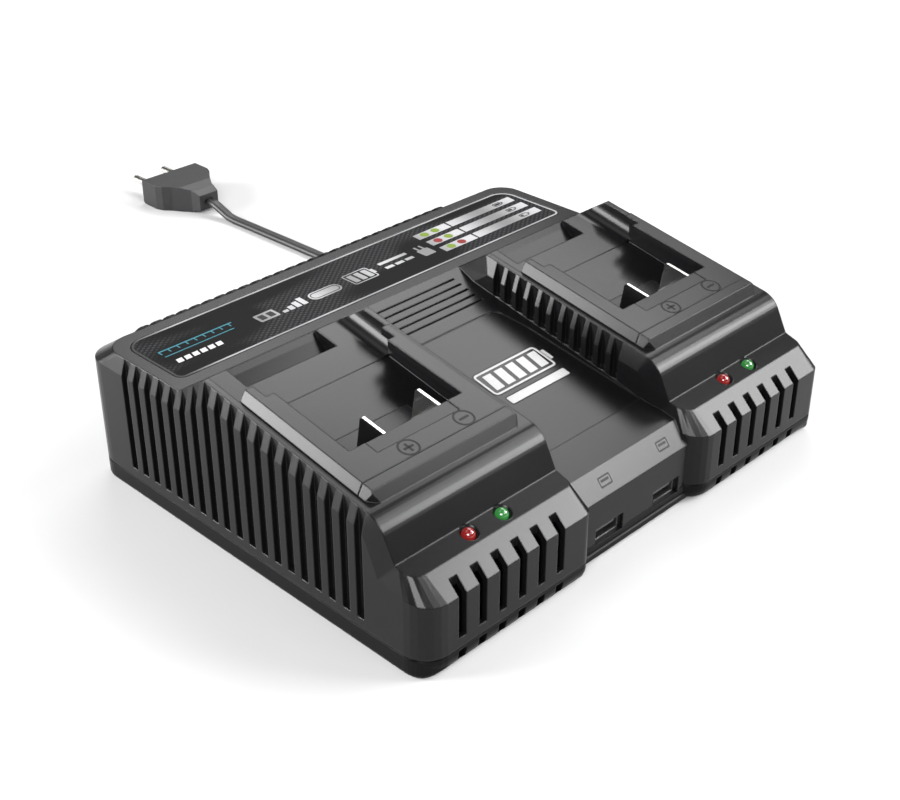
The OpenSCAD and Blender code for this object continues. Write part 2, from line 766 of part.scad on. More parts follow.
module slide_plate() color([0.16, 0.16, 0.165]) {
    difference() {
        intersection() {
            pad_block(seam_y + fit, pad_end, 30);
            along_x(half_w, [
                [seam_y, well_z], [floor_y, well_z],
                [pad_end, floor_at(pad_end) - plate_floor], [pad_end, deck_at(pad_end)],
                [pad_rear, 2 * label_z], [seam_y, 2 * label_z]]);
        }
        intersection() {
            rail_channel();
            along_x(half_w, [
                [stop_y, floor_z], [floor_y, floor_z], [pad_end + 2, floor_at(pad_end + 2)],
                [pad_end + 2, 2 * label_z], [stop_y, 2 * label_z]]);
        }
        terminal_seat(fit);
        blade_roots(2 * fit);
    }
}

seat_z = floor_z - terminal_drop;
seat_end = stop_y + terminal_floor;
module terminal_seat(gap) {
    translate([-terminal_w / 2 - gap, stop_y - terminal_t - gap, seat_z])
        cube([terminal_w + 2 * gap, terminal_t + gap + 1, 2 * label_z]);
    along_x(terminal_w / 2 + gap, [
        [stop_y - eps, seat_z], [floor_y, seat_z], [seat_end + gap, floor_at(seat_end + gap) - terminal_drop],
        [seat_end + gap, 2 * label_z], [stop_y - eps, 2 * label_z]]);
}

// Roots of the blades, which stand in the terminal block and reach down to the wiring
root_start = stop_y - 4;
root_end = stop_y + 6;
root_bottom = floor_z - 6;
root_top = pad_at(stop_y) - 2.5;
module blade_roots(gap) {
    for (x = [-blade_left, blade_right])
        translate([x - blade_t / 2 - gap, root_start - gap, root_bottom - gap])
            cube([blade_t + 2 * gap, root_end - root_start + 2 * gap, root_top - root_bottom + 2 * gap]);
}

module terminal_block() color([0.1, 0.1, 0.105]) {
    difference() {
        intersection() {
            terminal_seat(0);
            along_x(half_w, [
                [0, seat_z], [floor_y, seat_z], [crease_y, floor_at(crease_y) - terminal_drop],
                [crease_y, floor_at(crease_y)], [floor_y, floor_z], [stop_y, floor_z],
                [stop_y, pad_at(stop_y) - fit], [0, pad_at(0) - fit]]);
        }
        blade_roots(fit / 4);
    }
}

// Contact blades, as high as the pad, with a leaning free end and a blunted upper corner
module contact_blades() color([0.8, 0.8, 0.8]) {
    end = stop_y + blade_len;
    tip = end - blade_lean;
    blunt = 0.9;
    for (x = [-blade_left, blade_right])
        translate([x - blade_t / 2, 0, 0]) rotate([90, 0, 90]) linear_extrude(blade_t)
            polygon([
                [root_start, root_bottom], [root_end, root_bottom], [root_end, floor_z], [end, floor_z],
                [tip + 0.2 * blunt, pad_at(tip) - fit - blunt], [tip - blunt, pad_at(tip - blunt) - fit],
                [stop_y + fit / 4, pad_at(stop_y) - fit], [stop_y + fit / 4, root_top],
                [root_start, root_top]]);
}

// ---- Lights ----

light_drop = 7.6;
light_post_x = 13;
module light() {
    translate([0, 0, -light_drop]) cylinder(d = led_d, h = light_drop - 1.2);
    translate([0, 0, -light_drop]) cylinder(d = led_d + 0.9, h = 0.8);
    translate([0, 0, -1.2]) rotate_extrude() intersection() {
        circle(d = led_d);
        square([led_d, led_d]);
    }
}

module charging_led(side) color([0.8, 0.1, 0.08]) from_front() at_light(side, -led_x) light();
module ready_led(side) color([0.15, 0.65, 0.2]) from_front() at_light(side, led_x) light();

led_board_w = 32;
led_board_d = 11;
led_board_t = 1;
module led_board(side) color([0.1, 0.3, 0.15]) from_front() {
    at_light(side, 0)
        translate([-led_board_w / 2, -0.55 * led_board_d, -light_drop - led_board_t])
            cube([led_board_w, led_board_d, led_board_t]);
}

// ---- USB outlets ----

shell_y = centre_y + usb_recess;
module usb_shell(side) color([0.75, 0.75, 0.77]) from_front() {
    translate([usb_mid + side * usb_x - usb_w / 2, shell_y, usb_z - usb_h / 2]) difference() {
        cube([usb_w, usb_len, usb_h]);
        translate([usb_t, -1, usb_t]) cube([usb_w - 2 * usb_t, usb_len + 2, usb_h - 2 * usb_t]);
    }
}

// White insert: a block that fills the back of the shell, with the tongue in the upper half
tongue_w = 11.1;
tongue_t = 1.9;
usb_back = 4;
module usb_tongue(side) color([0.9, 0.9, 0.88]) from_front() {
    gap = fit / 4;
    translate([usb_mid + side * usb_x, shell_y, usb_z]) {
        translate([-usb_w / 2 + usb_t + gap, usb_len - usb_back, -usb_h / 2 + usb_t + gap])
            cube([usb_w - 2 * usb_t - 2 * gap, usb_back, usb_h - 2 * usb_t - 2 * gap]);
        translate([-tongue_w / 2, 0.8, usb_h / 2 - usb_t - 0.7 - tongue_t])
            cube([tongue_w, usb_len - usb_back, tongue_t]);
    }
}

usb_board_w = 68;
usb_board_d = 17;
module usb_board() color([0.1, 0.3, 0.15]) from_front() {
    translate([usb_mid - usb_board_w / 2, centre_y + wall + 1, usb_board_z - board_t])
        cube([usb_board_w, usb_board_d, board_t]);
}

// ---- Electronics ----

board_top = board_z + board_t;
module main_board() color([0.1, 0.3, 0.15]) from_front() {
    translate([-half_case + board_side_gap, board_front, board_z])
        cube([case_w - 2 * board_side_gap, case_d - board_back_gap - board_front, board_t]);
}

// Ferrite core in the form of an 8, with the winding round its middle leg
core_w = 42;
core_t = 16;
core_h = 34;
leg_w = 13;
core_wall = 6.5;
core_y = case_d - 72;
window_w = (core_w - leg_w) / 2 - core_wall;
window_h = core_h - 2 * core_wall;
module transformer_core() color([0.2, 0.2, 0.22]) from_front() {
    translate([0, core_y, board_top]) difference() {
        translate([-core_w / 2, -core_t / 2, 0]) cube([core_w, core_t, core_h]);
        for (s = [-1, 1])
            translate([s * (leg_w + window_w) / 2 - window_w / 2, -core_t, (core_h - window_h) / 2])
                cube([window_w, 2 * core_t, window_h]);
    }
}

module transformer_coil() color([0.85, 0.7, 0.2]) from_front() {
    out = window_w - 5 * fit;
    translate([0, core_y, board_top + (core_h - window_h) / 2 + fit])
        linear_extrude(window_h - 2 * fit) difference() {
            translate([-leg_w / 2 - out, -core_t / 2 - out]) square([leg_w + 2 * out, core_t + 2 * out]);
            translate([-leg_w / 2 - fit, -core_t / 2 - fit]) square([leg_w + 2 * fit, core_t + 2 * fit]);
        }
}

// Can with chamfered ends and a crimped groove above its foot
can_edge = 0.8;
crimp_z = 3;
module can(d, h) {
    rotate_extrude() polygon([
        [0, 0], [d / 2 - can_edge, 0], [d / 2, can_edge],
        [d / 2, crimp_z], [d / 2 - can_edge, crimp_z + can_edge], [d / 2, crimp_z + 2 * can_edge],
        [d / 2, h - can_edge], [d / 2 - can_edge, h], [0, h]]);
}

large_can_d = 25;
large_can_h = 34;
large_can_x = 58;
small_can_d = 12.5;
small_can_h = 22;
small_can_x = -70;
module capacitors() color([0.12, 0.14, 0.3]) from_front() translate([0, 0, board_top]) {
    for (i = [-1, 1])
        translate([large_can_x + i * 0.56 * large_can_d, case_d - 42, 0]) can(large_can_d, large_can_h);
    for (i = [-1:1], j = [0, 1])
        translate([small_can_x + i * 1.12 * small_can_d, board_front + (0.8 + 1.2 * j) * small_can_d, 0])
            can(small_can_d, small_can_h);
}

sink_w = 44;
sink_fins = 8;
sink_h = 24;
sink_len = 50;
sink_base = 4;
fin_t = 2;
module heatsink() color([0.75, 0.76, 0.78]) from_front() {
    translate([fan_x, case_d - board_back_gap - 6, board_top]) rotate([90, 0, 0]) linear_extrude(sink_len) {
        translate([-sink_w / 2, 0]) square([sink_w, sink_base]);
        for (i = [0:sink_fins - 1])
            translate([-sink_w / 2 + i * (sink_w - fin_t) / (sink_fins - 1), 0]) square([fin_t, sink_h]);
    }
}

// ---- Cooling fan ----

fan_z = tray_floor + 1 + fan_w / 2;
fan_y = case_d - tray_inset - 0.4;
fan_bore_d = fan_w - 2.5;
fan_hole_pitch = 32;
run_gap = 0.05;
module at_fan() { from_front() translate([fan_x, fan_y, fan_z]) rotate([90, 0, 0]) children(); }

module fan_frame() color([0.08, 0.08, 0.08]) at_fan() {
    difference() {
        union() {
            difference() {
                translate([-fan_w / 2, -fan_w / 2, 0]) cube([fan_w, fan_w, fan_t]);
                translate([0, 0, -1]) cylinder(d = fan_bore_d, h = fan_t + 2);
            }
            cylinder(d = fan_hub_d + 2, h = 2);
            for (a = [45:90:315]) rotate([0, 0, a])
                translate([fan_hub_d / 2 - 1, -1, 0]) cube([fan_bore_d / 2 - fan_hub_d / 2 + 2, 2, 1.6]);
        }
        translate([0, 0, -1]) cylinder(d = fan_shaft_d + 2 * run_gap, h = fan_t);
        for (x = [-1, 1], y = [-1, 1])
            translate([x * fan_hole_pitch / 2, y * fan_hole_pitch / 2, -1]) cylinder(d = 3.4, h = fan_t + 2);
    }
}

module fan_rotor() color([0.1, 0.1, 0.1]) at_fan() {
    hub_bottom = 2.4;
    blade_h = 6;
    translate([0, 0, 0.3]) cylinder(d = fan_shaft_d, h = hub_bottom + 1);
    translate([0, 0, hub_bottom]) cylinder(d = fan_hub_d, h = fan_t - hub_bottom - 0.4);
    for (i = [0:fan_blades - 1]) rotate([0, 0, i * 360 / fan_blades])
        translate([fan_hub_d / 2 - 1, 0, hub_bottom + blade_h / 2 + 0.3])
            rotate([40, 0, 0])
                translate([0, -4, -0.5]) cube([fan_bore_d / 2 - fan_hub_d / 2 + 0.4, 8, 1]);
}

// ---- Feet and screws ----

module rubber_feet() color([0.05, 0.05, 0.05]) from_front() at_feet() {
    rotate_extrude() polygon([
        [0, 0], [foot_d / 2 - 0.6, 0], [foot_d / 2, 0.5],
        [foot_d / 2, ground_gap + foot_recess], [0, ground_gap + foot_recess]]);
}

screw_len = 20;
module case_screws() color([0.6, 0.6, 0.62]) from_front() at_screws() {
    difference() {
        translate([0, 0, head_seat - 1.4]) cylinder(d = screw_head_d, h = 1.4);
        for (a = [0, 90]) rotate([0, 0, a]) translate([-1.6, -0.3, head_seat - 2]) cube([3.2, 0.6, 1.4]);
    }
    translate([0, 0, head_seat - eps]) cylinder(d = screw_d, h = screw_len);
}

// ---- Mains lead ----

module strain_relief() color([0.05, 0.05, 0.05]) from_front() {
    tip_r = cord_w / 2 + 0.5;
    ribs = 4;
    rib_pitch = 3.6;
    start = 4.5;
    translate([boot_x, case_d, boot_z]) rotate([-90, 0, 0]) rotate_extrude() polygon(concat(
        [[0, -tray_inset - 2.2], [boot_r - 0.3, -tray_inset - 2.2], [boot_r - 0.3, -tray_inset - 0.1],
         [neck_r, -tray_inset - 0.1], [neck_r, 0.1], [boot_r, 0.1], [boot_r, start]],
        [for (i = [0:ribs - 1])
            let (y = start + i * rib_pitch, r = boot_r - (i + 1) * (boot_r - tip_r) / (ribs + 1))
            each [[r - 0.7, y + 0.1], [r - 0.7, y + 1.2], [r, y + 1.3], [r, y + rib_pitch]]],
        [[tip_r, boot_len], [0, boot_len]]));
}

// Flat section of the lead, across the way it runs
half_flat = cord_w / 2 - cord_t / 2;
section = concat(
    [for (p = arc([half_flat, 0], cord_t / 2, -90, 90, 4)) p],
    [for (p = arc([-half_flat, 0], cord_t / 2, 90, 270, 4)) p]);

function unit(v) = v / norm(v);
function along(route, i) = unit(route[min(i + 1, len(route) - 1)] - route[max(i - 1, 0)]);
function lead_rings(route) = [for (i = [0:len(route) - 1])
    let (t = along(route, i), side = unit(cross(t, [0, 0, 1])), up = cross(side, t))
    [for (p = section) route[i] + side * p[0] + up * p[1]]];

module mains_cord() color([0.05, 0.05, 0.05]) from_front() {
    skin(lead_rings(lead_in));
    skin(lead_rings(lead_out));
}

// The spare length is wound in two layers of three turns, and held by a tie
coil_rows = 3;
coil_layers = 2;
coil_mid_r = 5 * cord_w;
coil_out_r = coil_mid_r + coil_rows * cord_w / 2;
coil_in_r = coil_mid_r - coil_rows * cord_w / 2;
coil_h = coil_layers * cord_t;
module cord_coil() color([0.05, 0.05, 0.05]) from_front() {
    bevel = 1.2;
    translate([coil_spot[0], coil_spot[1], 0]) rotate_extrude() polygon([
        [coil_in_r + bevel, 0], [coil_out_r - bevel, 0], [coil_out_r, bevel], [coil_out_r, coil_h - bevel],
        [coil_out_r - bevel, coil_h], [coil_in_r + bevel, coil_h], [coil_in_r, coil_h - bevel],
        [coil_in_r, bevel]]);
}

tie_t = 0.8;
tie_w = 10;
tie_turn = 215;
module cord_tie() color([0.1, 0.1, 0.1]) from_front() {
    translate([coil_spot[0], coil_spot[1], 0]) rotate([0, 0, tie_turn])
        translate([0, tie_w / 2, 0]) rotate([90, 0, 0]) linear_extrude(tie_w) difference() {
            translate([coil_in_r - tie_t, 0]) square([coil_out_r - coil_in_r + 2 * tie_t, coil_h + tie_t]);
            translate([coil_in_r, tie_t]) square([coil_out_r - coil_in_r, coil_h - tie_t]);
        }
}

// Flat two-pin plug, lying on its broad side
plug_w = 35.3;
plug_t = 13.7;
plug_len = 36;
plug_tail_w = 12;
pin_gap = 18.6;
pin_d = 4;
pin_len = 19;
sleeve_len = 9;
sleeve_d = 3.8;
pin_core_d = 3;
module at_plug() { from_front() translate([plug_spot[0], plug_spot[1], plug_t / 2]) children(); }

module plug_body() color([0.05, 0.05, 0.05]) at_plug() {
    difference() {
        union() {
            intersection() {
                translate([0, 0, -plug_t / 2]) linear_extrude(plug_t) polygon([
                    [-plug_tail_w / 2, 0], [plug_tail_w / 2, 0], [plug_tail_w / 2 + 1, 6],
                    [plug_w / 2 - 5, 16], [plug_w / 2 - 1.5, 20], [plug_w / 2, 24], [plug_w / 2, plug_len],
                    [-plug_w / 2, plug_len], [-plug_w / 2, 24], [-plug_w / 2 + 1.5, 20],
                    [-plug_w / 2 + 5, 16], [-plug_tail_w / 2 - 1, 6]]);
                along_x(plug_w, [
                    [0, -plug_t / 2 + 2.6], [4, -plug_t / 2 + 1], [12, -plug_t / 2], [plug_len - 1, -plug_t / 2],
                    [plug_len, -plug_t / 2 + 1], [plug_len, plug_t / 2 - 1], [plug_len - 1, plug_t / 2],
                    [12, plug_t / 2], [4, plug_t / 2 - 1], [0, plug_t / 2 - 2.6]]);
            }
            at_pins() cylinder(d = sleeve_d, h = sleeve_len);
        }
        at_pins() translate([0, 0, -8]) cylinder(d = pin_core_d + fit / 2, h = sleeve_len + 9);
    }
}

module at_pins() {
    for (s = [-1, 1]) translate([s * pin_gap / 2, plug_len, 0]) rotate([-90, 0, 0]) children();
}

module plug_pins() color([0.8, 0.8, 0.82]) at_plug() at_pins() {
    rotate_extrude() polygon(concat(
        [[0, -7.8], [pin_core_d / 2, -7.8], [pin_core_d / 2, sleeve_len + 0.1],
         [pin_d / 2, sleeve_len + 0.1]],
        arc([pin_d / 2 - 1.4, pin_len - 1.4], 1.4, 0, 90, 4),
        [[0, pin_len]]));
}

module on_tower(side) { from_front() at_tower(side) children(); }

lower_case();
upper_case();
label_plate();
on_tower(-1) slide_plate();  // slide_plate_left
on_tower(1) slide_plate();  // slide_plate_right
on_tower(-1) terminal_block();  // terminal_block_left
on_tower(1) terminal_block();  // terminal_block_right
on_tower(-1) contact_blades();  // contact_blades_left
on_tower(1) contact_blades();  // contact_blades_right
charging_led(-1);  // charging_led_left
charging_led(1);  // charging_led_right
ready_led(-1);  // ready_led_left
ready_led(1);  // ready_led_right
led_board(-1);  // led_board_left
led_board(1);  // led_board_right
usb_shell(-1);  // usb_shell_left
usb_shell(1);  // usb_shell_right
usb_tongue(-1);  // usb_tongue_left
usb_tongue(1);  // usb_tongue_right
usb_board();
main_board();
transformer_core();
transformer_coil();
capacitors();
heatsink();
fan_frame();
fan_rotor();
rubber_feet();
case_screws();
strain_relief();
mains_cord();
cord_coil();
cord_tie();
plug_body();
plug_pins();
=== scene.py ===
"""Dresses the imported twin-bay battery charger.

Camera, mains lead, materials, trim, printed marks and studio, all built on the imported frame.
Unless said otherwise, lengths are in millimetres, and a spot is [x, distance behind the case's
front, height], as in the part's source.
"""

import json
import math

import bpy
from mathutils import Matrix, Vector


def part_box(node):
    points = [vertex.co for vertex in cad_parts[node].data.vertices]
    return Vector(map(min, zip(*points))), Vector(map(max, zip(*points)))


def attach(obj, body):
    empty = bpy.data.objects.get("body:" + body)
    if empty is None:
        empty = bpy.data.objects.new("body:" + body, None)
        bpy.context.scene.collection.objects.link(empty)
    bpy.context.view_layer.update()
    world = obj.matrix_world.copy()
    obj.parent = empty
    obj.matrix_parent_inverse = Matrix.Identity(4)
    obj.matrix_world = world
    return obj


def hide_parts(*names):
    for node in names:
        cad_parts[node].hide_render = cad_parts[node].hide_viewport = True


MM = 0.001
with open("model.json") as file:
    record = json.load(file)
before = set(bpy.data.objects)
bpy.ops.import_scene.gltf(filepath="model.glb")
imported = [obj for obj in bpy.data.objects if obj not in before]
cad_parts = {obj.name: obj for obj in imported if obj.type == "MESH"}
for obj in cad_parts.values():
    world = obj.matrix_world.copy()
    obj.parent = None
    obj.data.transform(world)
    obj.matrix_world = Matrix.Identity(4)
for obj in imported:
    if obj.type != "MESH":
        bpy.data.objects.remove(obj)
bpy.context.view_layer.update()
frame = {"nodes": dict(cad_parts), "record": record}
case_low, case_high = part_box("lower_case")
FRONT_Y = -(case_high[1] - case_low[1]) / 2


# ---- Camera ----

# Solved from the straight edges of the photograph; the spot is in metres
CAMERA_SPOT = (-0.3619, -0.3497, 0.3228)
CAMERA_AZIMUTH = math.radians(45.4)
CAMERA_ELEVATION = math.radians(30.83)
SENSOR_MM = 36
LENS_MM = 59.06


def make_camera():
    data = bpy.data.cameras.new("photo_camera")
    data.sensor_width = SENSOR_MM
    data.lens = LENS_MM
    data.clip_start = 0.01
    camera = bpy.data.objects.new("photo_camera", data)
    bpy.context.scene.collection.objects.link(camera)
    camera.location = CAMERA_SPOT
    look = Vector((
        math.sin(CAMERA_AZIMUTH) * math.cos(CAMERA_ELEVATION),
        math.cos(CAMERA_AZIMUTH) * math.cos(CAMERA_ELEVATION),
        -math.sin(CAMERA_ELEVATION),
    ))
    camera.rotation_euler = look.to_track_quat("-Z", "Y").to_euler()
    bpy.context.scene.camera = camera


make_camera()


# ---- Mesh helpers ----

def place(spot):
    """From millimetres behind the front plane to metres in the part's frame."""
    return Vector((spot[0] * MM, spot[1] * MM + FRONT_Y, spot[2] * MM))


def ease(t):
    """A soft step from 0 to 1."""
    t = min(max(t, 0.0), 1.0)
    return t * t * (3 - 2 * t)


def wall(low, high):
    """Four-sided faces between two closed rings of points, each given by its points' numbers."""
    count = len(low)
    return [(low[i], low[(i + 1) % count], high[(i + 1) % count], high[i]) for i in range(count)]


def mesh_piece(name, points, faces, body="charger", smooth=False):
    """A mesh object from points in metres, riding on a body."""
    data = bpy.data.meshes.new(name)
    data.from_pydata([tuple(p) for p in points], [], faces)
    data.update()
    if smooth:
        data.shade_smooth()
    piece = bpy.data.objects.new(name, data)
    bpy.context.scene.collection.objects.link(piece)
    if body:
        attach(piece, body)
    return piece


def tube_between(rings):
    """Points and faces of a closed tube through rings of equally many points."""
    count = len(rings[0])
    points = [p for ring in rings for p in ring]
    numbers = [range(k * count, (k + 1) * count) for k in range(len(rings))]
    faces = [face for low, high in zip(numbers, numbers[1:]) for face in wall(low, high)]
    faces.append(tuple(reversed(numbers[0])))
    faces.append(tuple(numbers[-1]))
    return points, faces


# ---- Mains lead ----

LEAD_WIDTH = 5.5
LEAD_THICK = 3.5
CORE_SHARE = 0.98  # of the thickness, so that runs that touch don't cut into each other
GROOVE_SHARE = 0.8  # height of the outline in the groove, as a share of a core's
ROUTE_STEP = 4

COIL_SPOT = (43, 222)
COIL_ENTRY = 41  # radius at which the lead comes in
COIL_RADII = (33, 27.5, 22)
COIL_TURNS = range(70, 2131, 15)  # degrees
LAYER_CHANGE = 1050  # degrees
LAYER_CLIMB = 60  # degrees
LAYER_Z = (1.77, 5.25)

LEAD_IN = [
    (84, 206, 9.5), (84, 210, 9.3), (84, 215, 8.1), (84, 220, 5.7), (83.5, 225, 3.2),
    (82.4, 229, 2.1), (81, 233, 1.8), (78.2, 238.4, 1.77), (71.7, 246, 1.77)]
LEAD_OUT = [
    (74, 210.7, 5.25), (76, 222, 5.25), (76.2, 234, 5.25), (76.3, 246, 5.25), (76.4, 250.5, 4.8),
    (76.4, 255, 3.5), (76.4, 259.5, 2.2), (76.3, 264, 1.77), (76, 275, 1.77), (75.5, 290, 1.77),
    (75, 305, 1.77), (74.5, 320, 1.77), (74, 332.5, 1.77), (73.8, 337.5, 2.3), (73.6, 343, 4.3),
    (73.4, 348.5, 6.3), (73.3, 354, 6.85)]


def coil_radius(turned):
    """Radius after turned degrees: the lead moves from row to row within a quarter of a turn."""
    outer, middle, inner = COIL_RADII
    if turned < 90:
        return COIL_ENTRY - (COIL_ENTRY - outer) * turned / 90
    steps = [(360, outer, middle), (720, middle, inner),
             (1440, inner, middle), (1800, middle, outer)]
    radius = outer
    for start, before, after in steps:
        if turned > start:
            radius = before + (after - before) * ease((turned - start) / 90)
    return radius


def coil_turns():
    """Three turns in the lower layer, inwards, then three in the upper one, outwards."""
    low, high = LAYER_Z
    points = []
    for turned in COIL_TURNS:
        radius = coil_radius(turned)
        angle = math.radians(turned)
        rise = ease((turned - LAYER_CHANGE) / LAYER_CLIMB)
        points.append((
            COIL_SPOT[0] + radius * math.cos(angle),
            COIL_SPOT[1] + radius * math.sin(angle),
            low + (high - low) * rise))
    return points


def smooth_route(points, step):
    """Points about every step millimetres on a Catmull-Rom curve through the given ones."""
    ends = [points[0]] + points + [points[-1]]
    dense = []
    for a, b, c, d in zip(ends, ends[1:], ends[2:], ends[3:]):
        a, b, c, d = Vector(a), Vector(b), Vector(c), Vector(d)
        pieces = max(1, round((c - b).length / step))
        for k in range(pieces):
            t = k / pieces
            dense.append(0.5 * (2 * b + (c - a) * t + (2 * a - 5 * b + 4 * c - d) * t ** 2
                                + (3 * b - a - 3 * c + d) * t ** 3))
    dense.append(Vector(points[-1]))
    return dense


def lead_section():
    """Half-width and height of the flat twin lead's outline, with a groove between its cores."""
    core = LEAD_THICK / 2 * CORE_SHARE
    middle = LEAD_WIDTH / 2 - LEAD_THICK / 2
    right = [(middle + core * math.cos(math.radians(a)), core * math.sin(math.radians(a)))
             for a in range(-105, 106, 15)]
    left = [(-x, -z) for x, z in right]
    groove = core * GROOVE_SHARE
    return right + [(0, groove)] + left + [(0, -groove)]


def make_lead():
    """The lead's section swept along its route, kept upright."""
    route = smooth_route(LEAD_IN + coil_turns() + LEAD_OUT, ROUTE_STEP)
    section = lead_section()
    rings = []
    for i, spot in enumerate(route):
        ahead = (route[min(i + 1, len(route) - 1)] - route[max(i - 1, 0)]).normalized()
        side = ahead.cross(Vector((0, 0, 1))).normalized()
        up = side.cross(ahead)
        rings.append([place(spot + side * x + up * z) for x, z in section])
    points, faces = tube_between(rings)
    lead = mesh_piece("mains_lead", points, faces, smooth=True)
    return lead, [place(p) for p in route]


TIE_WIDTH = 10
TIE_THICK = 0.7
TIE_CORNER = 1.6
TIE_TURN = 215  # degrees round the coil
TIE_LOWEST = 0.05  # keeps it above the floor


def make_tie():
    """A loop of hook-and-loop tape round the coil's six runs."""
    inner, outer = COIL_RADII[2] - LEAD_WIDTH / 2, COIL_RADII[0] + LEAD_WIDTH / 2
    low, high = TIE_CORNER, 2 * LEAD_THICK - TIE_CORNER
    loop = []
    for cx, cz, start in ((outer - TIE_CORNER, low, -90), (outer - TIE_CORNER, high, 0),
                          (inner + TIE_CORNER, high, 90), (inner + TIE_CORNER, low, 180)):
        loop += [(cx, cz, math.radians(start + a)) for a in range(0, 91, 15)]
    turn = math.radians(TIE_TURN)
    along = Vector((math.cos(turn), math.sin(turn), 0))
    across = Vector((-math.sin(turn), math.cos(turn), 0))
    centre = Vector((*COIL_SPOT, 0))
    half = TIE_WIDTH / 2
    points, faces = [], []
    for cx, cz, a in loop:
        for width, depth in ((-half, 0), (half, 0), (half, TIE_THICK), (-half, TIE_THICK)):
            reach = TIE_CORNER + depth
            up = Vector((0, 0, max(cz + reach * math.sin(a), TIE_LOWEST)))
            points.append(place(centre + along * (cx + reach * math.cos(a)) + across * width + up))
    for k in range(len(loop)):
        after = (k + 1) % len(loop)
        faces += wall(range(4 * k, 4 * k + 4), range(4 * after, 4 * after + 4))
    return mesh_piece("lead_tie", points, faces)


lead, lead_path = make_lead()
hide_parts("mains_cord", "cord_coil")
tie = make_tie()
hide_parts("cord_tie")


# ---- Materials ----

class Nodes:
    """Short calls for the nodes of one material."""

    def __init__(self, name):
        self.material = bpy.data.materials.new(name)
        self.material.use_nodes = True
        self.tree = self.material.node_tree
        self.tree.nodes.clear()
        self.output = self.add("ShaderNodeOutputMaterial")
        self.shader = self.add("ShaderNodeBsdfPrincipled")
        self.join(self.shader.outputs[0], self.output.inputs["Surface"])
        self.spot = self.add("ShaderNodeTexCoord").outputs["Object"]

    def add(self, kind, **settings):
        node = self.tree.nodes.new(kind)
        for key, value in settings.items():
            setattr(node, key, value)
        return node

    def join(self, source, socket):
        self.tree.links.new(source, socket)

    def set(self, socket, value):
        self.shader.inputs[socket].default_value = value

    def noise(self, scale, detail=3.0, roughness=0.55):
        node = self.add("ShaderNodeTexNoise")
        self.join(self.spot, node.inputs["Vector"])
        node.inputs["Scale"].default_value = scale
        node.inputs["Detail"].default_value = detail
        node.inputs["Roughness"].default_value = roughness
        return node.outputs["Fac"]

    def math(self, operation, a, b=None, c=None):
        node = self.add("ShaderNodeMath", operation=operation)
        for socket, value in zip(node.inputs, (a, b, c)):
            if value is None:
                continue
            if isinstance(value, (int, float)):
                socket.default_value = value
            else:
                self.join(value, socket)
        return node.outputs[0]

    def ramp(self, factor, *stops):
        node = self.add("ShaderNodeValToRGB")
        self.join(factor, node.inputs[0])
        band = node.color_ramp
        while len(band.elements) < len(stops):
            band.elements.new(0.5)
        for element, (where, value) in zip(band.elements, stops):
            element.position = where
            element.color = value if len(value) == 4 else (*value, 1)
        return node.outputs[0]

    def between(self, factor, low, high):
        """A number from low to high, as factor goes from 0 to 1."""
        node = self.add("ShaderNodeMapRange")
        self.join(factor, node.inputs["Value"])
        node.inputs["To Min"].default_value = low
        node.inputs["To Max"].default_value = high
        return node.outputs[0]

    def bumps(self, *layers, edge=0.0):
        """Bump layers, each (height, strength, distance in mm), over edges rounded by edge mm."""
        normal = None
        if edge:
            bevel = self.add("ShaderNodeBevel", samples=6)
            bevel.inputs["Radius"].default_value = edge * MM
            normal = bevel.outputs[0]
        for height, strength, distance in layers:
            node = self.add("ShaderNodeBump")
            node.inputs["Strength"].default_value = strength
            node.inputs["Distance"].default_value = distance * MM
            self.join(height, node.inputs["Height"])
            if normal is not None:
                self.join(normal, node.inputs["Normal"])
            normal = node.outputs[0]
        if normal is not None:
            self.join(normal, self.shader.inputs["Normal"])


def moulded(name, colour, rough, edge, grain=0.28, gloss=0.3):
    """Spark-eroded plastic: a fine even grain, a little cloudiness and edges rounded by edge."""
    n = Nodes(name)
    dark = tuple(c * 0.86 for c in colour)
    light = tuple(min(1, c * 1.16) for c in colour)
    n.join(n.ramp(n.noise(900, 2), (0.35, dark), (0.65, light)), n.shader.inputs["Base Color"])
    cloud = n.noise(14, 2)
    n.join(n.between(cloud, rough - 0.04, rough + 0.05), n.shader.inputs["Roughness"])
    n.set("Specular IOR Level", gloss)
    n.bumps((n.noise(2600, 2, 0.6), grain, 0.02), edge=edge)
    return n.material


METAL_STREAK = (1, 1, 12)


def metal(name, colour, rough):
    """Drawn or stamped metal, with a grain that is finer along Z."""
    n = Nodes(name)
    stretch = n.add("ShaderNodeMapping")
    n.join(n.spot, stretch.inputs["Vector"])
    stretch.inputs["Scale"].default_value = METAL_STREAK
    grain = n.add("ShaderNodeTexNoise")
    grain.inputs["Scale"].default_value = 700
    n.join(stretch.outputs[0], grain.inputs["Vector"])
    n.join(n.ramp(n.noise(60), (0.3, tuple(c * 0.9 for c in colour)), (0.7, colour)),
           n.shader.inputs["Base Color"])
    n.set("Metallic", 1.0)
    n.join(n.between(grain.outputs["Fac"], rough * 0.7, rough * 1.3), n.shader.inputs["Roughness"])
    n.bumps((grain.outputs["Fac"], 0.05, 0.01), edge=0.1)
    return n.material


def lens(name, colour, glow):
    """Tinted clear plastic that glows faintly."""
    n = Nodes(name)
    n.join(n.ramp(n.noise(500), (0.3, tuple(c * 0.8 for c in colour)), (0.7, colour)),
           n.shader.inputs["Base Color"])
    n.set("Roughness", 0.16)
    n.set("Transmission Weight", 0.35)
    n.set("Coat Weight", 0.6)
    n.set("Emission Color", (*glow, 1))
    n.set("Emission Strength", 0.35)
    n.bumps((n.noise(300), 0.05, 0.05))
    return n.material


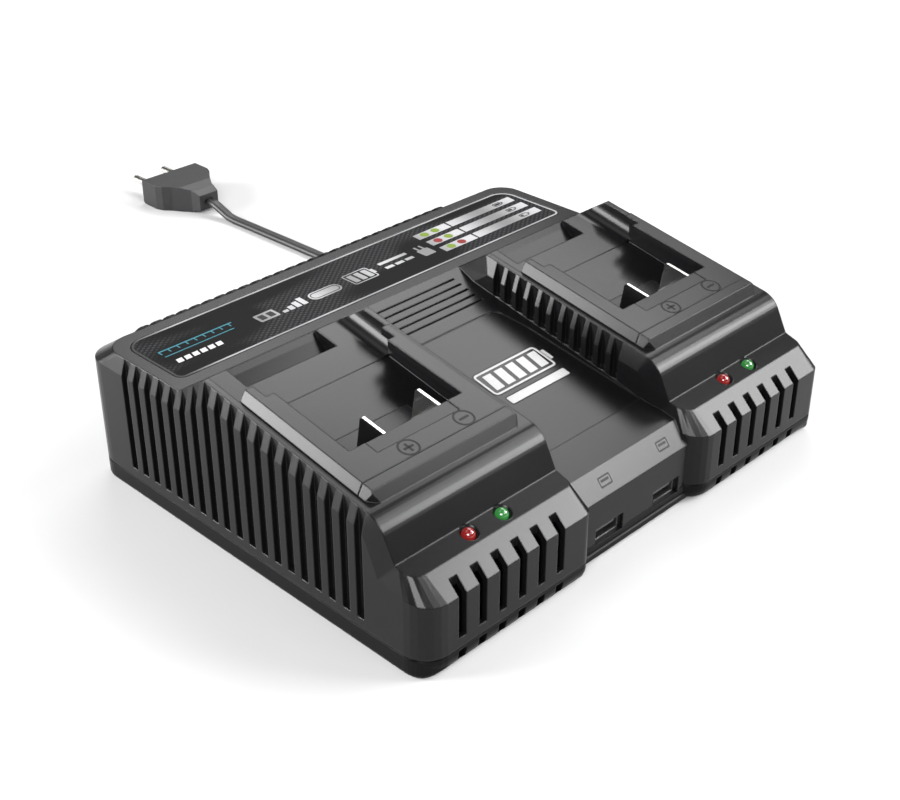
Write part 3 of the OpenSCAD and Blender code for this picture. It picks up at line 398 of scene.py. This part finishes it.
def board_green(name):
    """Solder resist, a little lighter over its tracks."""
    n = Nodes(name)
    cells = n.add("ShaderNodeTexVoronoi", feature="DISTANCE_TO_EDGE")
    cells.inputs["Scale"].default_value = 180
    n.join(n.spot, cells.inputs["Vector"])
    tracks = n.ramp(cells.outputs["Distance"],
                    (0.02, (0.05, 0.2, 0.07)), (0.1, (0.012, 0.08, 0.025)))
    n.join(tracks, n.shader.inputs["Base Color"])
    n.set("Roughness", 0.35)
    n.bumps((cells.outputs["Distance"], 0.2, 0.05), edge=0.2)
    return n.material


# Film areas with no painted sheen, the first on the black print behind the text: x, distance from
# the front, half-width and half-depth
SHEENLESS_AREAS = ((-80, 148, 26, 11), (-54, 166, 46, 8), (-88, 135, 22, 5), (-62, 154, 14, 12),
               (14, 139, 34, 8), (34, 147, 12, 14), (78, 167, 30, 5))
AREA_EDGE = (0.7, 1.25)  # where an area starts and stops to fade, as shares of its half-sizes
WEAVE_CELL = (1.5, 1.1)
WEAVE_SHIFT = 1000  # even, and more cells than the film has, so that no cell counts below zero


def painted_sheen_mask(n):
    """Painted sheen on the twill: 0 in the areas without it, 1 where it shows."""
    sheen_shown = None
    for x, y, half_x, half_y in SHEENLESS_AREAS:
        away = n.add("ShaderNodeVectorMath", operation="SUBTRACT")
        n.join(n.spot, away.inputs[0])
        away.inputs[1].default_value = (x * MM, y * MM + FRONT_Y, 0)
        scaled = n.add("ShaderNodeVectorMath", operation="MULTIPLY")
        n.join(away.outputs[0], scaled.inputs[0])
        scaled.inputs[1].default_value = (1 / (half_x * MM), 1 / (half_y * MM), 0)
        length = n.add("ShaderNodeVectorMath", operation="LENGTH")
        n.join(scaled.outputs[0], length.inputs[0])
        edge = n.add("ShaderNodeMapRange", interpolation_type="SMOOTHSTEP")
        n.join(length.outputs["Value"], edge.inputs["Value"])
        edge.inputs["From Min"].default_value = AREA_EDGE[0]
        edge.inputs["From Max"].default_value = AREA_EDGE[1]
        sheen_shown = edge.outputs[0] if sheen_shown is None else n.math("MULTIPLY", sheen_shown, edge.outputs[0])
    return sheen_shown


def weave(n, where):
    """Heights of a twill from 0 to 0.5: rounded bundles, of which every other one lies low."""
    across = n.math("DIVIDE", where.outputs["X"], WEAVE_CELL[0] * MM)
    along = n.math("DIVIDE", where.outputs["Y"], WEAVE_CELL[1] * MM)
    cell = n.math("ADD", n.math("FLOOR", across), n.math("FLOOR", along))
    step = n.math("MODULO", n.math("ADD", cell, WEAVE_SHIFT), 2)
    u, v = [n.math("SUBTRACT", n.math("FRACT", n.math("ADD", way, WEAVE_SHIFT)), 0.5)
            for way in (across, along)]
    away = n.math("ADD", n.math("MULTIPLY", u, u), n.math("MULTIPLY", v, v))
    crown = n.math("SUBTRACT", 0.5, away)
    return n.math("MULTIPLY", crown, n.math("ADD", n.math("MULTIPLY", step, 0.85), 0.15))


def woven_print(name):
    """Printed black twill film with painted sheen: lighter crowns, every other bundle less, except
    in the sheenless areas.
    """
    n = Nodes(name)
    parts = n.add("ShaderNodeSeparateXYZ")
    n.join(n.spot, parts.inputs[0])
    # Painted sheen: the twill's crowns are coloured lighter only where the sheen mask lets them
    # show
    weave_sheen = n.math("MULTIPLY", weave(n, parts), painted_sheen_mask(n))
    n.join(n.ramp(weave_sheen, (0.0, (0.0012, 0.0012, 0.0014)), (0.5, (0.024, 0.0245, 0.026))),
           n.shader.inputs["Base Color"])
    n.join(n.between(n.noise(30), 0.34, 0.42), n.shader.inputs["Roughness"])
    n.set("Specular IOR Level", 0.03)
    n.bumps((weave_sheen, 0.3, 0.06))
    return n.material


REFLECTION_PERIOD = 45
# Painted reflection that darkens the border's ink to the left: from x, to x, least tone
REFLECTION_FADE_FROM, REFLECTION_FADE_TO, REFLECTION_FADE_LEAST = -101, -82, 0.1


def ink(name, colour, reflection_sweep=0.0, reflection_fade_left=False):
    """Printed ink. Its tone can carry a painted reflection that sweeps along X as on metal, and
    that darkens it to the left.
    """
    n = Nodes(name)
    parts = n.add("ShaderNodeSeparateXYZ")
    n.join(n.spot, parts.inputs[0])
    across = parts.outputs["X"]
    grain = n.ramp(n.noise(700, 3), (0.3, tuple(c * 0.9 for c in colour)), (0.7, colour))
    # Painted reflection: the tone rises and falls along X like light on metal, and on the border
    # fades to the left
    if reflection_sweep:
        reflection_wave = n.math("SINE", n.math("MULTIPLY", across, 2 * math.pi / (REFLECTION_PERIOD * MM)))
        tone = n.math("ADD", n.math("MULTIPLY", reflection_wave, reflection_sweep), 1 - reflection_sweep)
        if reflection_fade_left:
            fade = n.add("ShaderNodeMapRange")
            n.join(across, fade.inputs["Value"])
            fade.inputs["From Min"].default_value = REFLECTION_FADE_FROM * MM
            fade.inputs["From Max"].default_value = REFLECTION_FADE_TO * MM
            fade.inputs["To Min"].default_value = REFLECTION_FADE_LEAST
            tone = n.math("MULTIPLY", tone, fade.outputs[0])
        scaled = n.add("ShaderNodeVectorMath", operation="SCALE")
        n.join(grain, scaled.inputs[0])
        n.join(tone, scaled.inputs["Scale"])
        grain = scaled.outputs[0]
    n.join(grain, n.shader.inputs["Base Color"])
    n.join(n.between(n.noise(90), 0.3, 0.4), n.shader.inputs["Roughness"])
    n.set("Specular IOR Level", 0.1)
    n.bumps((n.noise(1500), 0.1, 0.01))
    return n.material


def pvc(name, colour):
    """Soft sheath of a mains lead."""
    n = Nodes(name)
    n.join(n.ramp(n.noise(300, 3), (0.3, tuple(c * 0.8 for c in colour)), (0.7, colour)),
           n.shader.inputs["Base Color"])
    n.join(n.between(n.noise(120), 0.36, 0.5), n.shader.inputs["Roughness"])
    n.set("Specular IOR Level", 0.3)
    n.bumps((n.noise(1200, 2), 0.15, 0.03), edge=0.6)
    return n.material


def tape(name):
    """Hook-and-loop tape."""
    n = Nodes(name)
    n.join(n.ramp(n.noise(1800, 4), (0.3, (0.008, 0.008, 0.009)), (0.7, (0.05, 0.05, 0.055))),
           n.shader.inputs["Base Color"])
    n.set("Roughness", 0.9)
    n.set("Sheen Weight", 0.4)
    n.bumps((n.noise(2500, 4), 0.6, 0.15))
    return n.material


# moulded() takes a colour, a roughness and the edge's radius, then the grain and the gloss
FINISHES = {
    "case_grey": moulded("grey_plastic", (0.0036, 0.0036, 0.004), 0.25, 0.7, 0.06, 0.18),
    "case_black": moulded("black_plastic", (0.0025, 0.0025, 0.0028), 0.3, 0.6, 0.08, 0.07),
    "label": woven_print("woven_film"),
    "block_black": moulded("terminal_plastic", (0.007, 0.007, 0.0075), 0.3, 0.3, 0.1, 0.18),
    "contact_metal": metal("nickel_blade", (0.42, 0.42, 0.41), 0.22),
    "led_red": lens("red_lens", (0.12, 0.008, 0.008), (0.42, 0.02, 0.018)),
    "led_green": lens("green_lens", (0.02, 0.1, 0.025), (0.05, 0.36, 0.07)),
    "board": board_green("board_resist"),
    "shell_steel": metal("stamped_steel", (0.3, 0.3, 0.3), 0.3),
    "tongue": moulded("tongue_plastic", (0.05, 0.05, 0.055), 0.4, 0.1),
    "ferrite": moulded("ferrite_core", (0.05, 0.05, 0.055), 0.6, 0.2),
    "winding": moulded("winding_tape", (0.6, 0.42, 0.08), 0.35, 0.4),
    "capacitor": moulded("capacitor_sleeve", (0.02, 0.03, 0.09), 0.3, 0.4),
    "heatsink": metal("extruded_fins", (0.8, 0.8, 0.82), 0.35),
    "fan_black": moulded("fan_plastic", (0.016, 0.016, 0.017), 0.4, 0.3),
    "foot_rubber": moulded("foot_rubber", (0.02, 0.02, 0.021), 0.75, 0.4, 0.4),
    "screw_steel": metal("zinc_screw", (0.6, 0.6, 0.6), 0.35),
    "lead_black": pvc("lead_pvc", (0.014, 0.014, 0.015)),
    "tie_black": tape("tie_tape"),
    # The silver inks carry a painted reflection swept along X; the border's also darkens to the
    # left
    "ink_silver": ink("silver_ink", (0.27, 0.27, 0.275), 0.3),
    "ink_border": ink("border_ink", (0.2, 0.2, 0.205), 0.15, True),
    "ink_white": ink("white_ink", (0.33, 0.33, 0.33)),
    "ink_teal": ink("teal_ink", (0.015, 0.1, 0.125)),
    "ink_green": ink("green_ink", (0.09, 0.135, 0.01)),
    "ink_red": ink("red_ink", (0.12, 0.007, 0.007)),
    "ink_black": ink("black_ink", (0.003, 0.003, 0.003)),
    "pin_brass": metal("plated_pin", (0.82, 0.8, 0.75), 0.22),
}


def dress(piece, finish):
    piece.data.materials.clear()
    piece.data.materials.append(FINISHES[finish])


def dress_nodes():
    for part in frame["record"]["subparts"]:
        node = frame["nodes"][part["node"]]
        for slot in node.material_slots:
            slot.material = FINISHES[part["material_slot"]]


dress_nodes()
dress(lead, "lead_black")
dress(tie, "tie_black")


# ---- Trim of the case ----

# The skirt's path round the case: middle, radius, first and last angle of each corner
SKIRT_CORNERS = ((-101.5, 10, 10, 270, 180), (-100.5, 173, 11, 180, 90),
                 (100.5, 173, 11, 90, 0), (107.5, 4, 4, 0, -90))
SKIRT_STEPS = 10
# Its two ends at the front: middle, radius and angle
SKIRT_START = (-97.5, 10, 10, -90)
SKIRT_STOP = (104, 4, 4, -90)
# Its section at the sides, and the one at its ends: [inset, height]
SKIRT_FULL = ((0.01, 7.5), (0.01, 1.8), (0.25, 0.9), (0.7, 0.35),
              (1.3, 0.12), (3, 0.12), (3.4, 1.5), (1.2, 7))
SKIRT_ENDS = ((0.3, 7.4), (0.6, 3.6), (1.2, 2.7), (1.8, 2.1),
              (2.4, 1.8), (3, 1.6), (3.4, 1.9), (1.6, 6.8))
# At a front corner the end section counts this much, and it is gone after so many steps
CORNER_FADE = 0.75
FADE_STEPS = 7

RIB_PITCH = 6.1
RIB_COUNT = 30
RIB_HALF = 1.25
RELIEF_X = LEAD_IN[0][0]
RELIEF_HALF = 9
# Section of a rib's cap: [distance from the front, height]
CAP_SECTION = ((173.7, 58.3), (175.2, 58.25), (176.8, 57.6), (178.8, 56.2), (181, 54.2),
               (183, 52.3), (183.9, 50.6), (182, 50.4), (178, 54.2), (174, 57.2))


def skirt_path():
    """Spots along the skirt: middle, radius and angle, then how much the end section counts."""
    spots = [(*SKIRT_START, 1.0)]
    for k, (cx, cy, radius, start, end) in enumerate(SKIRT_CORNERS):
        for i in range(SKIRT_STEPS + 1):
            if k == 0:
                away = i
            elif k == len(SKIRT_CORNERS) - 1:
                away = SKIRT_STEPS - i
            else:
                away = FADE_STEPS
            fade = CORNER_FADE * (1 - ease(away / FADE_STEPS))
            spots.append((cx, cy, radius, start + (end - start) * i / SKIRT_STEPS, fade))
    spots.append((*SKIRT_STOP, 1.0))
    return spots


def make_skirt():
    """Lower rim of the tray: sharp at the sides and the back, running out at the front."""
    rings = []
    for cx, cy, radius, turn, fade in skirt_path():
        angle = math.radians(turn)
        ring = []
        for (inset, z), (end_inset, end_z) in zip(SKIRT_FULL, SKIRT_ENDS):
            reach = radius - (inset + (end_inset - inset) * fade)
            height = z + (end_z - z) * fade
            ring.append(place((cx + reach * math.cos(angle), cy + reach * math.sin(angle), height)))
        rings.append(ring)
    points, faces = tube_between(rings)
    skirt = mesh_piece("tray_skirt", points, faces)
    dress(skirt, "case_black")


def make_rib_caps():
    """Rounded tops of the ribs between the rear vents, a little above the rear chamfer."""
    count = len(CAP_SECTION)
    points, faces = [], []
    for i in range(RIB_COUNT):
        middle = (i + 0.5 - RIB_COUNT / 2) * RIB_PITCH
        if abs(middle - RELIEF_X) < RELIEF_HALF:
            continue
        left = range(len(points), len(points) + count)
        right = range(len(points) + count, len(points) + 2 * count)
        for x in (middle - RIB_HALF, middle + RIB_HALF):
            points.extend(place((x, y, z)) for y, z in CAP_SECTION)
        faces += [tuple(left), tuple(reversed(right))] + wall(right, left)
    caps = mesh_piece("rear_rib_caps", points, faces)
    dress(caps, "case_black")


make_skirt()
make_rib_caps()


# ---- Printed marks ----

LABEL_LOW, LABEL_HIGH = [Vector(corner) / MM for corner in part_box("label_plate")]
LABEL_FRONT_RADIUS = 3.4
LABEL_REAR_RADIUS = 7.9
INK_LIFT = 0.05


def plane(y, z, slope=0.0):
    """Height of a plane at any distance from the front, from one spot of it and its slope."""
    return lambda distance: z + (distance - y) * slope


# The surfaces that carry marks: the label, a bay's pad, the centre panel and its front chamfer
on_label = plane(0, LABEL_HIGH.z)
on_pad = plane(0, 53.26, 0.177)
on_panel = plane(12, 33.8, 24 / 114)
on_chamfer = plane(5.2, 26.1, 8.3 / 6.8)


def arc_points(cx, cy, radius, start, end, steps):
    turns = [math.radians(start + (end - start) * k / steps) for k in range(steps + 1)]
    return [(cx + radius * math.cos(a), cy + radius * math.sin(a)) for a in turns]


def disc(cx, cy, radius):
    return arc_points(cx, cy, radius, 0, 345, 23)


def rounded(x0, y0, x1, y1, radius, steps=4):
    """Rectangle with round corners, counter-clockwise."""
    loop = []
    for cx, cy, start in ((x1 - radius, y0 + radius, -90), (x1 - radius, y1 - radius, 0),
                          (x0 + radius, y1 - radius, 90), (x0 + radius, y0 + radius, 180)):
        loop += arc_points(cx, cy, radius, start, start + 90, steps)
    return loop


def centred(cx, cy, half_x, half_y, radius):
    """Rounded rectangle about a middle."""
    return rounded(cx - half_x, cy - half_y, cx + half_x, cy + half_y, radius)


def slanted(x0, y0, x1, y1, lean=0.0):
    """Rectangle whose rear edge is moved along X."""
    return [(x0, y0), (x1, y0), (x1 + lean, y1), (x0 + lean, y1)]


def repeated(outline, count, pitch):
    """Copies of an outline, side by side."""
    return [[(x + pitch * k, y) for x, y in outline] for k in range(count)]


def line_inside(x0, y0, x1, y1, radius, line):
    """Outer and inner outline of a line along the inside of a rounded rectangle."""
    return (rounded(x0, y0, x1, y1, radius),
            rounded(x0 + line, y0 + line, x1 - line, y1 - line, radius - line))


def label_loop(inset):
    """The label plate's outline, moved inwards."""
    y0, y1 = LABEL_LOW.y - FRONT_Y / MM + inset, LABEL_HIGH.y - FRONT_Y / MM - inset
    x0, x1 = LABEL_LOW.x + inset, LABEL_HIGH.x - inset
    loop = []
    for cx, cy, side_x, side_y, start in ((x1, y0, -1, 1, -90), (x1, y1, -1, -1, 0),
                                          (x0, y1, 1, -1, 90), (x0, y0, 1, 1, 180)):
        radius = (LABEL_FRONT_RADIUS if side_y > 0 else LABEL_REAR_RADIUS) - inset
        loop += arc_points(cx + side_x * radius, cy + side_y * radius, radius, start, start + 90, 8)
    return loop


def print_marks(name, surface, finish, outlines=(), bands=(), lift=INK_LIFT):
    """Thin solids of ink: filled outlines, and bands between an outer and an inner outline."""
    points, faces = [], []

    def ring(outline, height):
        start = len(points)
        points.extend(place((x, y, surface(y) + height)) for x, y in outline)
        return list(range(start, start + len(outline)))

    for outline in outlines:
        low, high = ring(outline, -INK_LIFT), ring(outline, lift)
        faces.append(high)
        faces.append(low[::-1])
        faces.extend(wall(low, high))
    for outer, inner in bands:
        low, high = ring(outer, -INK_LIFT), ring(outer, lift)
        low_in, high_in = ring(inner, -INK_LIFT), ring(inner, lift)
        for before, after in ((low, high), (high, high_in), (high_in, low_in), (low_in, low)):
            faces.extend(wall(before, after))
    piece = mesh_piece(name, points, faces)
    dress(piece, finish)
    return piece


# The strip's three rows, rearmost first: a cell with two dots, and a bar with a battery picture
ROWS = ((156.2, 161.2), (148.0, 153.0), (140.0, 145.0))
ROW_DOTS = (("ink_green", "ink_green"), ("ink_red", "ink_green"), ("ink_green", "ink_red"))
DOT_X = (44.7, 51.0)
DOT_RADIUS = 2
CELL_X = (39.6, 58.6)
BAR_X = (59.5, 99.5)
ROW_ICON_X = (88, 93)
CHARGE_LOSS = 1.1  # what the battery picture's level loses from row to row


def print_rows():
    cells = [slanted(CELL_X[0], y0, CELL_X[1], y1, 0.3) for y0, y1 in ROWS]
    bars = [slanted(BAR_X[0], y0, BAR_X[1], y1, 0.6) for y0, y1 in ROWS]
    print_marks("label_rows", on_label, "ink_silver", cells + bars)
    for finish in ("ink_green", "ink_red"):
        dots = [disc(x, (y0 + y1) / 2, DOT_RADIUS)
                for (y0, y1), row in zip(ROWS, ROW_DOTS)
                for x, kind in zip(DOT_X, row) if kind == finish]
        colour = finish.removeprefix("ink_")
        print_marks("label_dots_" + colour, on_label, finish, dots, lift=2 * INK_LIFT)
    x0, x1 = ROW_ICON_X
    levels, frames = [], []
    for k, (y0, y1) in enumerate(ROWS):
        frames.append(line_inside(x0, y0 + 1, x1, y1 - 1.1, 0.8, 0.4))
        levels.append(rounded(x1, y0 + 2, x1 + 0.8, y1 - 2.1, 0.2))
        levels.append(rounded(x0 + 0.8, y0 + 1.8, x1 - 0.8 - CHARGE_LOSS * k, y1 - 1.9, 0.2))
    print_marks("label_row_icons", on_label, "ink_black", levels, frames, lift=2 * INK_LIFT)


# Front edge of the packs, the level and the current, and the packs' rear edge
SIGN_Y = (145.4, 151.6)


def print_pictograms():
    """Two packs, a rising level, a capsule, a battery gauge, direct current and a plug."""
    low, high = SIGN_Y
    packs = [rounded(-55.6, low, -46.2, high, 0.6)]
    level = [slanted(x, low, x + 2.4, 147.2 + 1.45 * k, 0.3)
             for k, x in enumerate((-44.4, -41.1, -37.8, -34.5))]
    capsule = [rounded(-29.4, 144.8, -13.4, 151.2, 3)]
    gauge_line = line_inside(-8.5, 143.6, 4.6, 153.4, 1.2, 0.6)
    gauge = repeated(rounded(-7, 145.1, -4.4, 151.9, 0.4), 3, 3.8)
    gauge += [rounded(4.6, 146.6, 5.8, 150.4, 0.3)]
    current = [slanted(10.4, 150, 26, 151.9)] + repeated(slanted(10.4, low, 14.8, 147.3), 3, 5.6)
    plug = [rounded(30.2, 142.8, 36.4, 149, 0.8)]
    plug += repeated(slanted(31.4, 149, 32.4, 152.4), 2, 2.8)
    print_marks("label_pictograms", on_label, "ink_silver",
                packs + level + capsule + gauge + current + plug, [gauge_line])
    inside = repeated(rounded(-54.4, low + 1.2, -51.6, high - 1.2, 0.4), 2, 4.2)
    print_marks("label_pictogram_packs", on_label, "ink_black", inside,
                [line_inside(-28.6, 145.6, -14.2, 150.4, 2.3, 0.4)], lift=2 * INK_LIFT)


# The plain scale at the strip's left end
SCALE_X = (-98, -64)
SCALE_Y = 153.6
TICK_PITCH = 4
TICK_LENGTH = 2


def print_scale():
    """A scale with its ticks over a second line, and a row of steps."""
    x0, x1 = SCALE_X
    scale = [slanted(x0, SCALE_Y, x1, SCALE_Y + 0.7)]
    scale += [slanted(x, SCALE_Y - TICK_LENGTH, x + 0.5, SCALE_Y)
              for x in range(x0, x1 + 1, TICK_PITCH)]
    scale += [slanted(x0, 149.2, x1 - 2, 149.7)]
    print_marks("label_scale", on_label, "ink_teal", scale)
    steps = repeated(slanted(-97, 142.4, -94.4, 145.2, 0.6), 6, 3.6)
    print_marks("label_steps", on_label, "ink_white", steps)


def print_label():
    print_marks("label_border", on_label, "ink_border", bands=[(label_loop(0.1), label_loop(1.0))])
    print_rows()
    print_pictograms()
    print_scale()


POLARITY_X = ((-79.8, "+"), (-53.7, "-"), (61.7, "+"), (87.6, "-"))
POLARITY_Y = 39.6
STROKE_REACH, STROKE_HALF = 2.2, 0.5


def print_polarity():
    """Raised plus and minus signs in circles, beside the front of each bay, in black ink that
    paints the shade in the moulding's engraved marks.
    """
    circles, signs = [], []
    for x, sign in POLARITY_X:
        circles.append((disc(x, POLARITY_Y, 4.1), disc(x, POLARITY_Y, 3.3)))
        signs.append(centred(x, POLARITY_Y, STROKE_REACH, STROKE_HALF, 0.3))
        if sign == "+":
            signs.append(centred(x, POLARITY_Y, STROKE_HALF, STROKE_REACH, 0.3))
    piece = print_marks("polarity_marks", on_pad, "ink_black", signs, circles)


OUTLET_X = (-13.7, 19.3)
OUTLET_SIGN_Y = 8.5


def print_outlet_marks():
    """A plain outline of an outlet with its tongue, over each of the two."""
    tongues, frames = [], []
    for x in OUTLET_X:
        frames.append((centred(x, OUTLET_SIGN_Y, 3.2, 1.3, 0.5),
                       centred(x, OUTLET_SIGN_Y, 2.7, 0.9, 0.3)))
        tongues.append(centred(x, OUTLET_SIGN_Y + 0.2, 2.1, 0.3, 0.15))
    piece = print_marks("outlet_marks", on_chamfer, "ink_black", tongues, frames)


# The panel's gauge and bar: x, distance from the front, x, distance from the front, corner
PANEL_GAUGE = (-15, 60, 19, 73, 1.8)
PANEL_BAR = (-13, 53.4, 19, 57.2, 0.6)
PANEL_SHADOW = 0.5


def shadow_round(x0, y0, x1, y1, radius):
    """A painted shadow line round the outside of a rounded rectangle."""
    return line_inside(x0 - PANEL_SHADOW, y0 - PANEL_SHADOW, x1 + PANEL_SHADOW, y1 + PANEL_SHADOW,
                       radius + PANEL_SHADOW, PANEL_SHADOW)


def print_panel():
    """A plain battery gauge over a bar, in the middle of the centre panel, with a painted shadow
    line round both.
    """
    steps = repeated(slanted(-12.4, 62.2, -8.2, 70.8, 0.8), 5, 6.2)
    terminal = rounded(19, 63.6, 21, 69.4, 0.5)
    piece = print_marks("panel_gauge", on_panel, "ink_white",
                        steps + [terminal, rounded(*PANEL_BAR)], [line_inside(*PANEL_GAUGE, 0.9)])
    # Painted shadow: a black line round the outside of the white gauge and bar
    shadow = print_marks("panel_gauge_shadow", on_panel, "ink_black", (),
                         [shadow_round(*PANEL_BAR), shadow_round(*PANEL_GAUGE)])


print_label()
print_polarity()
print_outlet_marks()
print_panel()


# ---- Studio ----

FLOOR_HALF = 4  # metres
FLOOR_DROP = 0.0001  # metres below the feet
WORLD_STRENGTH = 0.07
LIGHT_DISTANCE = 1.5  # metres
# Soft lights: name, direction in which they stand, width and height in metres, radiance
SOFTBOXES = (
    ("back_left_part", (0.47, 0.62, 0.53), (0.7, 0.5), 2.6),
    ("back_high_part", (0.52, 0.43, 0.72), (1, 0.5), 8),
    ("front_high_part", (0.55, -0.34, 0.75), (1, 0.45), 10.5),
    ("front_low_part", (0.63, -0.59, 0.48), (0.8, 0.5), 27),
    ("left_back_box", (-0.74, 0.6, 0.3), (0.7, 0.8), 34),
    ("corner_box", (-0.65, -0.5, 0.57), (0.8, 0.5), 24),
    ("front_box", (0.1, -0.76, 0.64), (0.5, 0.4), 7),
    ("fill_box", (-0.3, 0.25, 0.92), (0.8, 0.6), 2),
)


def make_floor():
    n = Nodes("studio_floor")
    n.join(n.ramp(n.noise(6), (0.3, (0.36, 0.36, 0.362)), (0.7, (0.38, 0.38, 0.382))),
           n.shader.inputs["Base Color"])
    n.set("Roughness", 0.8)
    corners = [(x * FLOOR_HALF, y * FLOOR_HALF, 0) for x, y in ((-1, -1), (1, -1), (1, 1), (-1, 1))]
    floor = mesh_piece("floor", corners, [(0, 1, 2, 3)], body=None)
    floor.location.z = -FLOOR_DROP
    floor.data.materials.append(n.material)


def softbox(name, direction, size, radiance):
    """A soft light of a given brightness, facing the object from a direction."""
    data = bpy.data.lights.new(name, "AREA")
    data.shape = "RECTANGLE"
    data.size, data.size_y = size
    data.energy = radiance * math.pi * size[0] * size[1]
    light = bpy.data.objects.new(name, data)
    bpy.context.scene.collection.objects.link(light)
    away = Vector(direction).normalized()
    light.location = away * LIGHT_DISTANCE
    light.rotation_euler = (-away).to_track_quat("-Z", "Y").to_euler()


def make_world():
    world = bpy.data.worlds.new("studio")
    bpy.context.scene.world = world
    world.use_nodes = True
    back = world.node_tree.nodes["Background"]
    back.inputs[0].default_value = (1, 1, 1, 1)
    back.inputs[1].default_value = WORLD_STRENGTH


def make_studio():
    make_floor()
    bpy.context.scene.view_settings.view_transform = "Standard"
    make_world()
    for box in SOFTBOXES:
        softbox(*box)


make_studio()
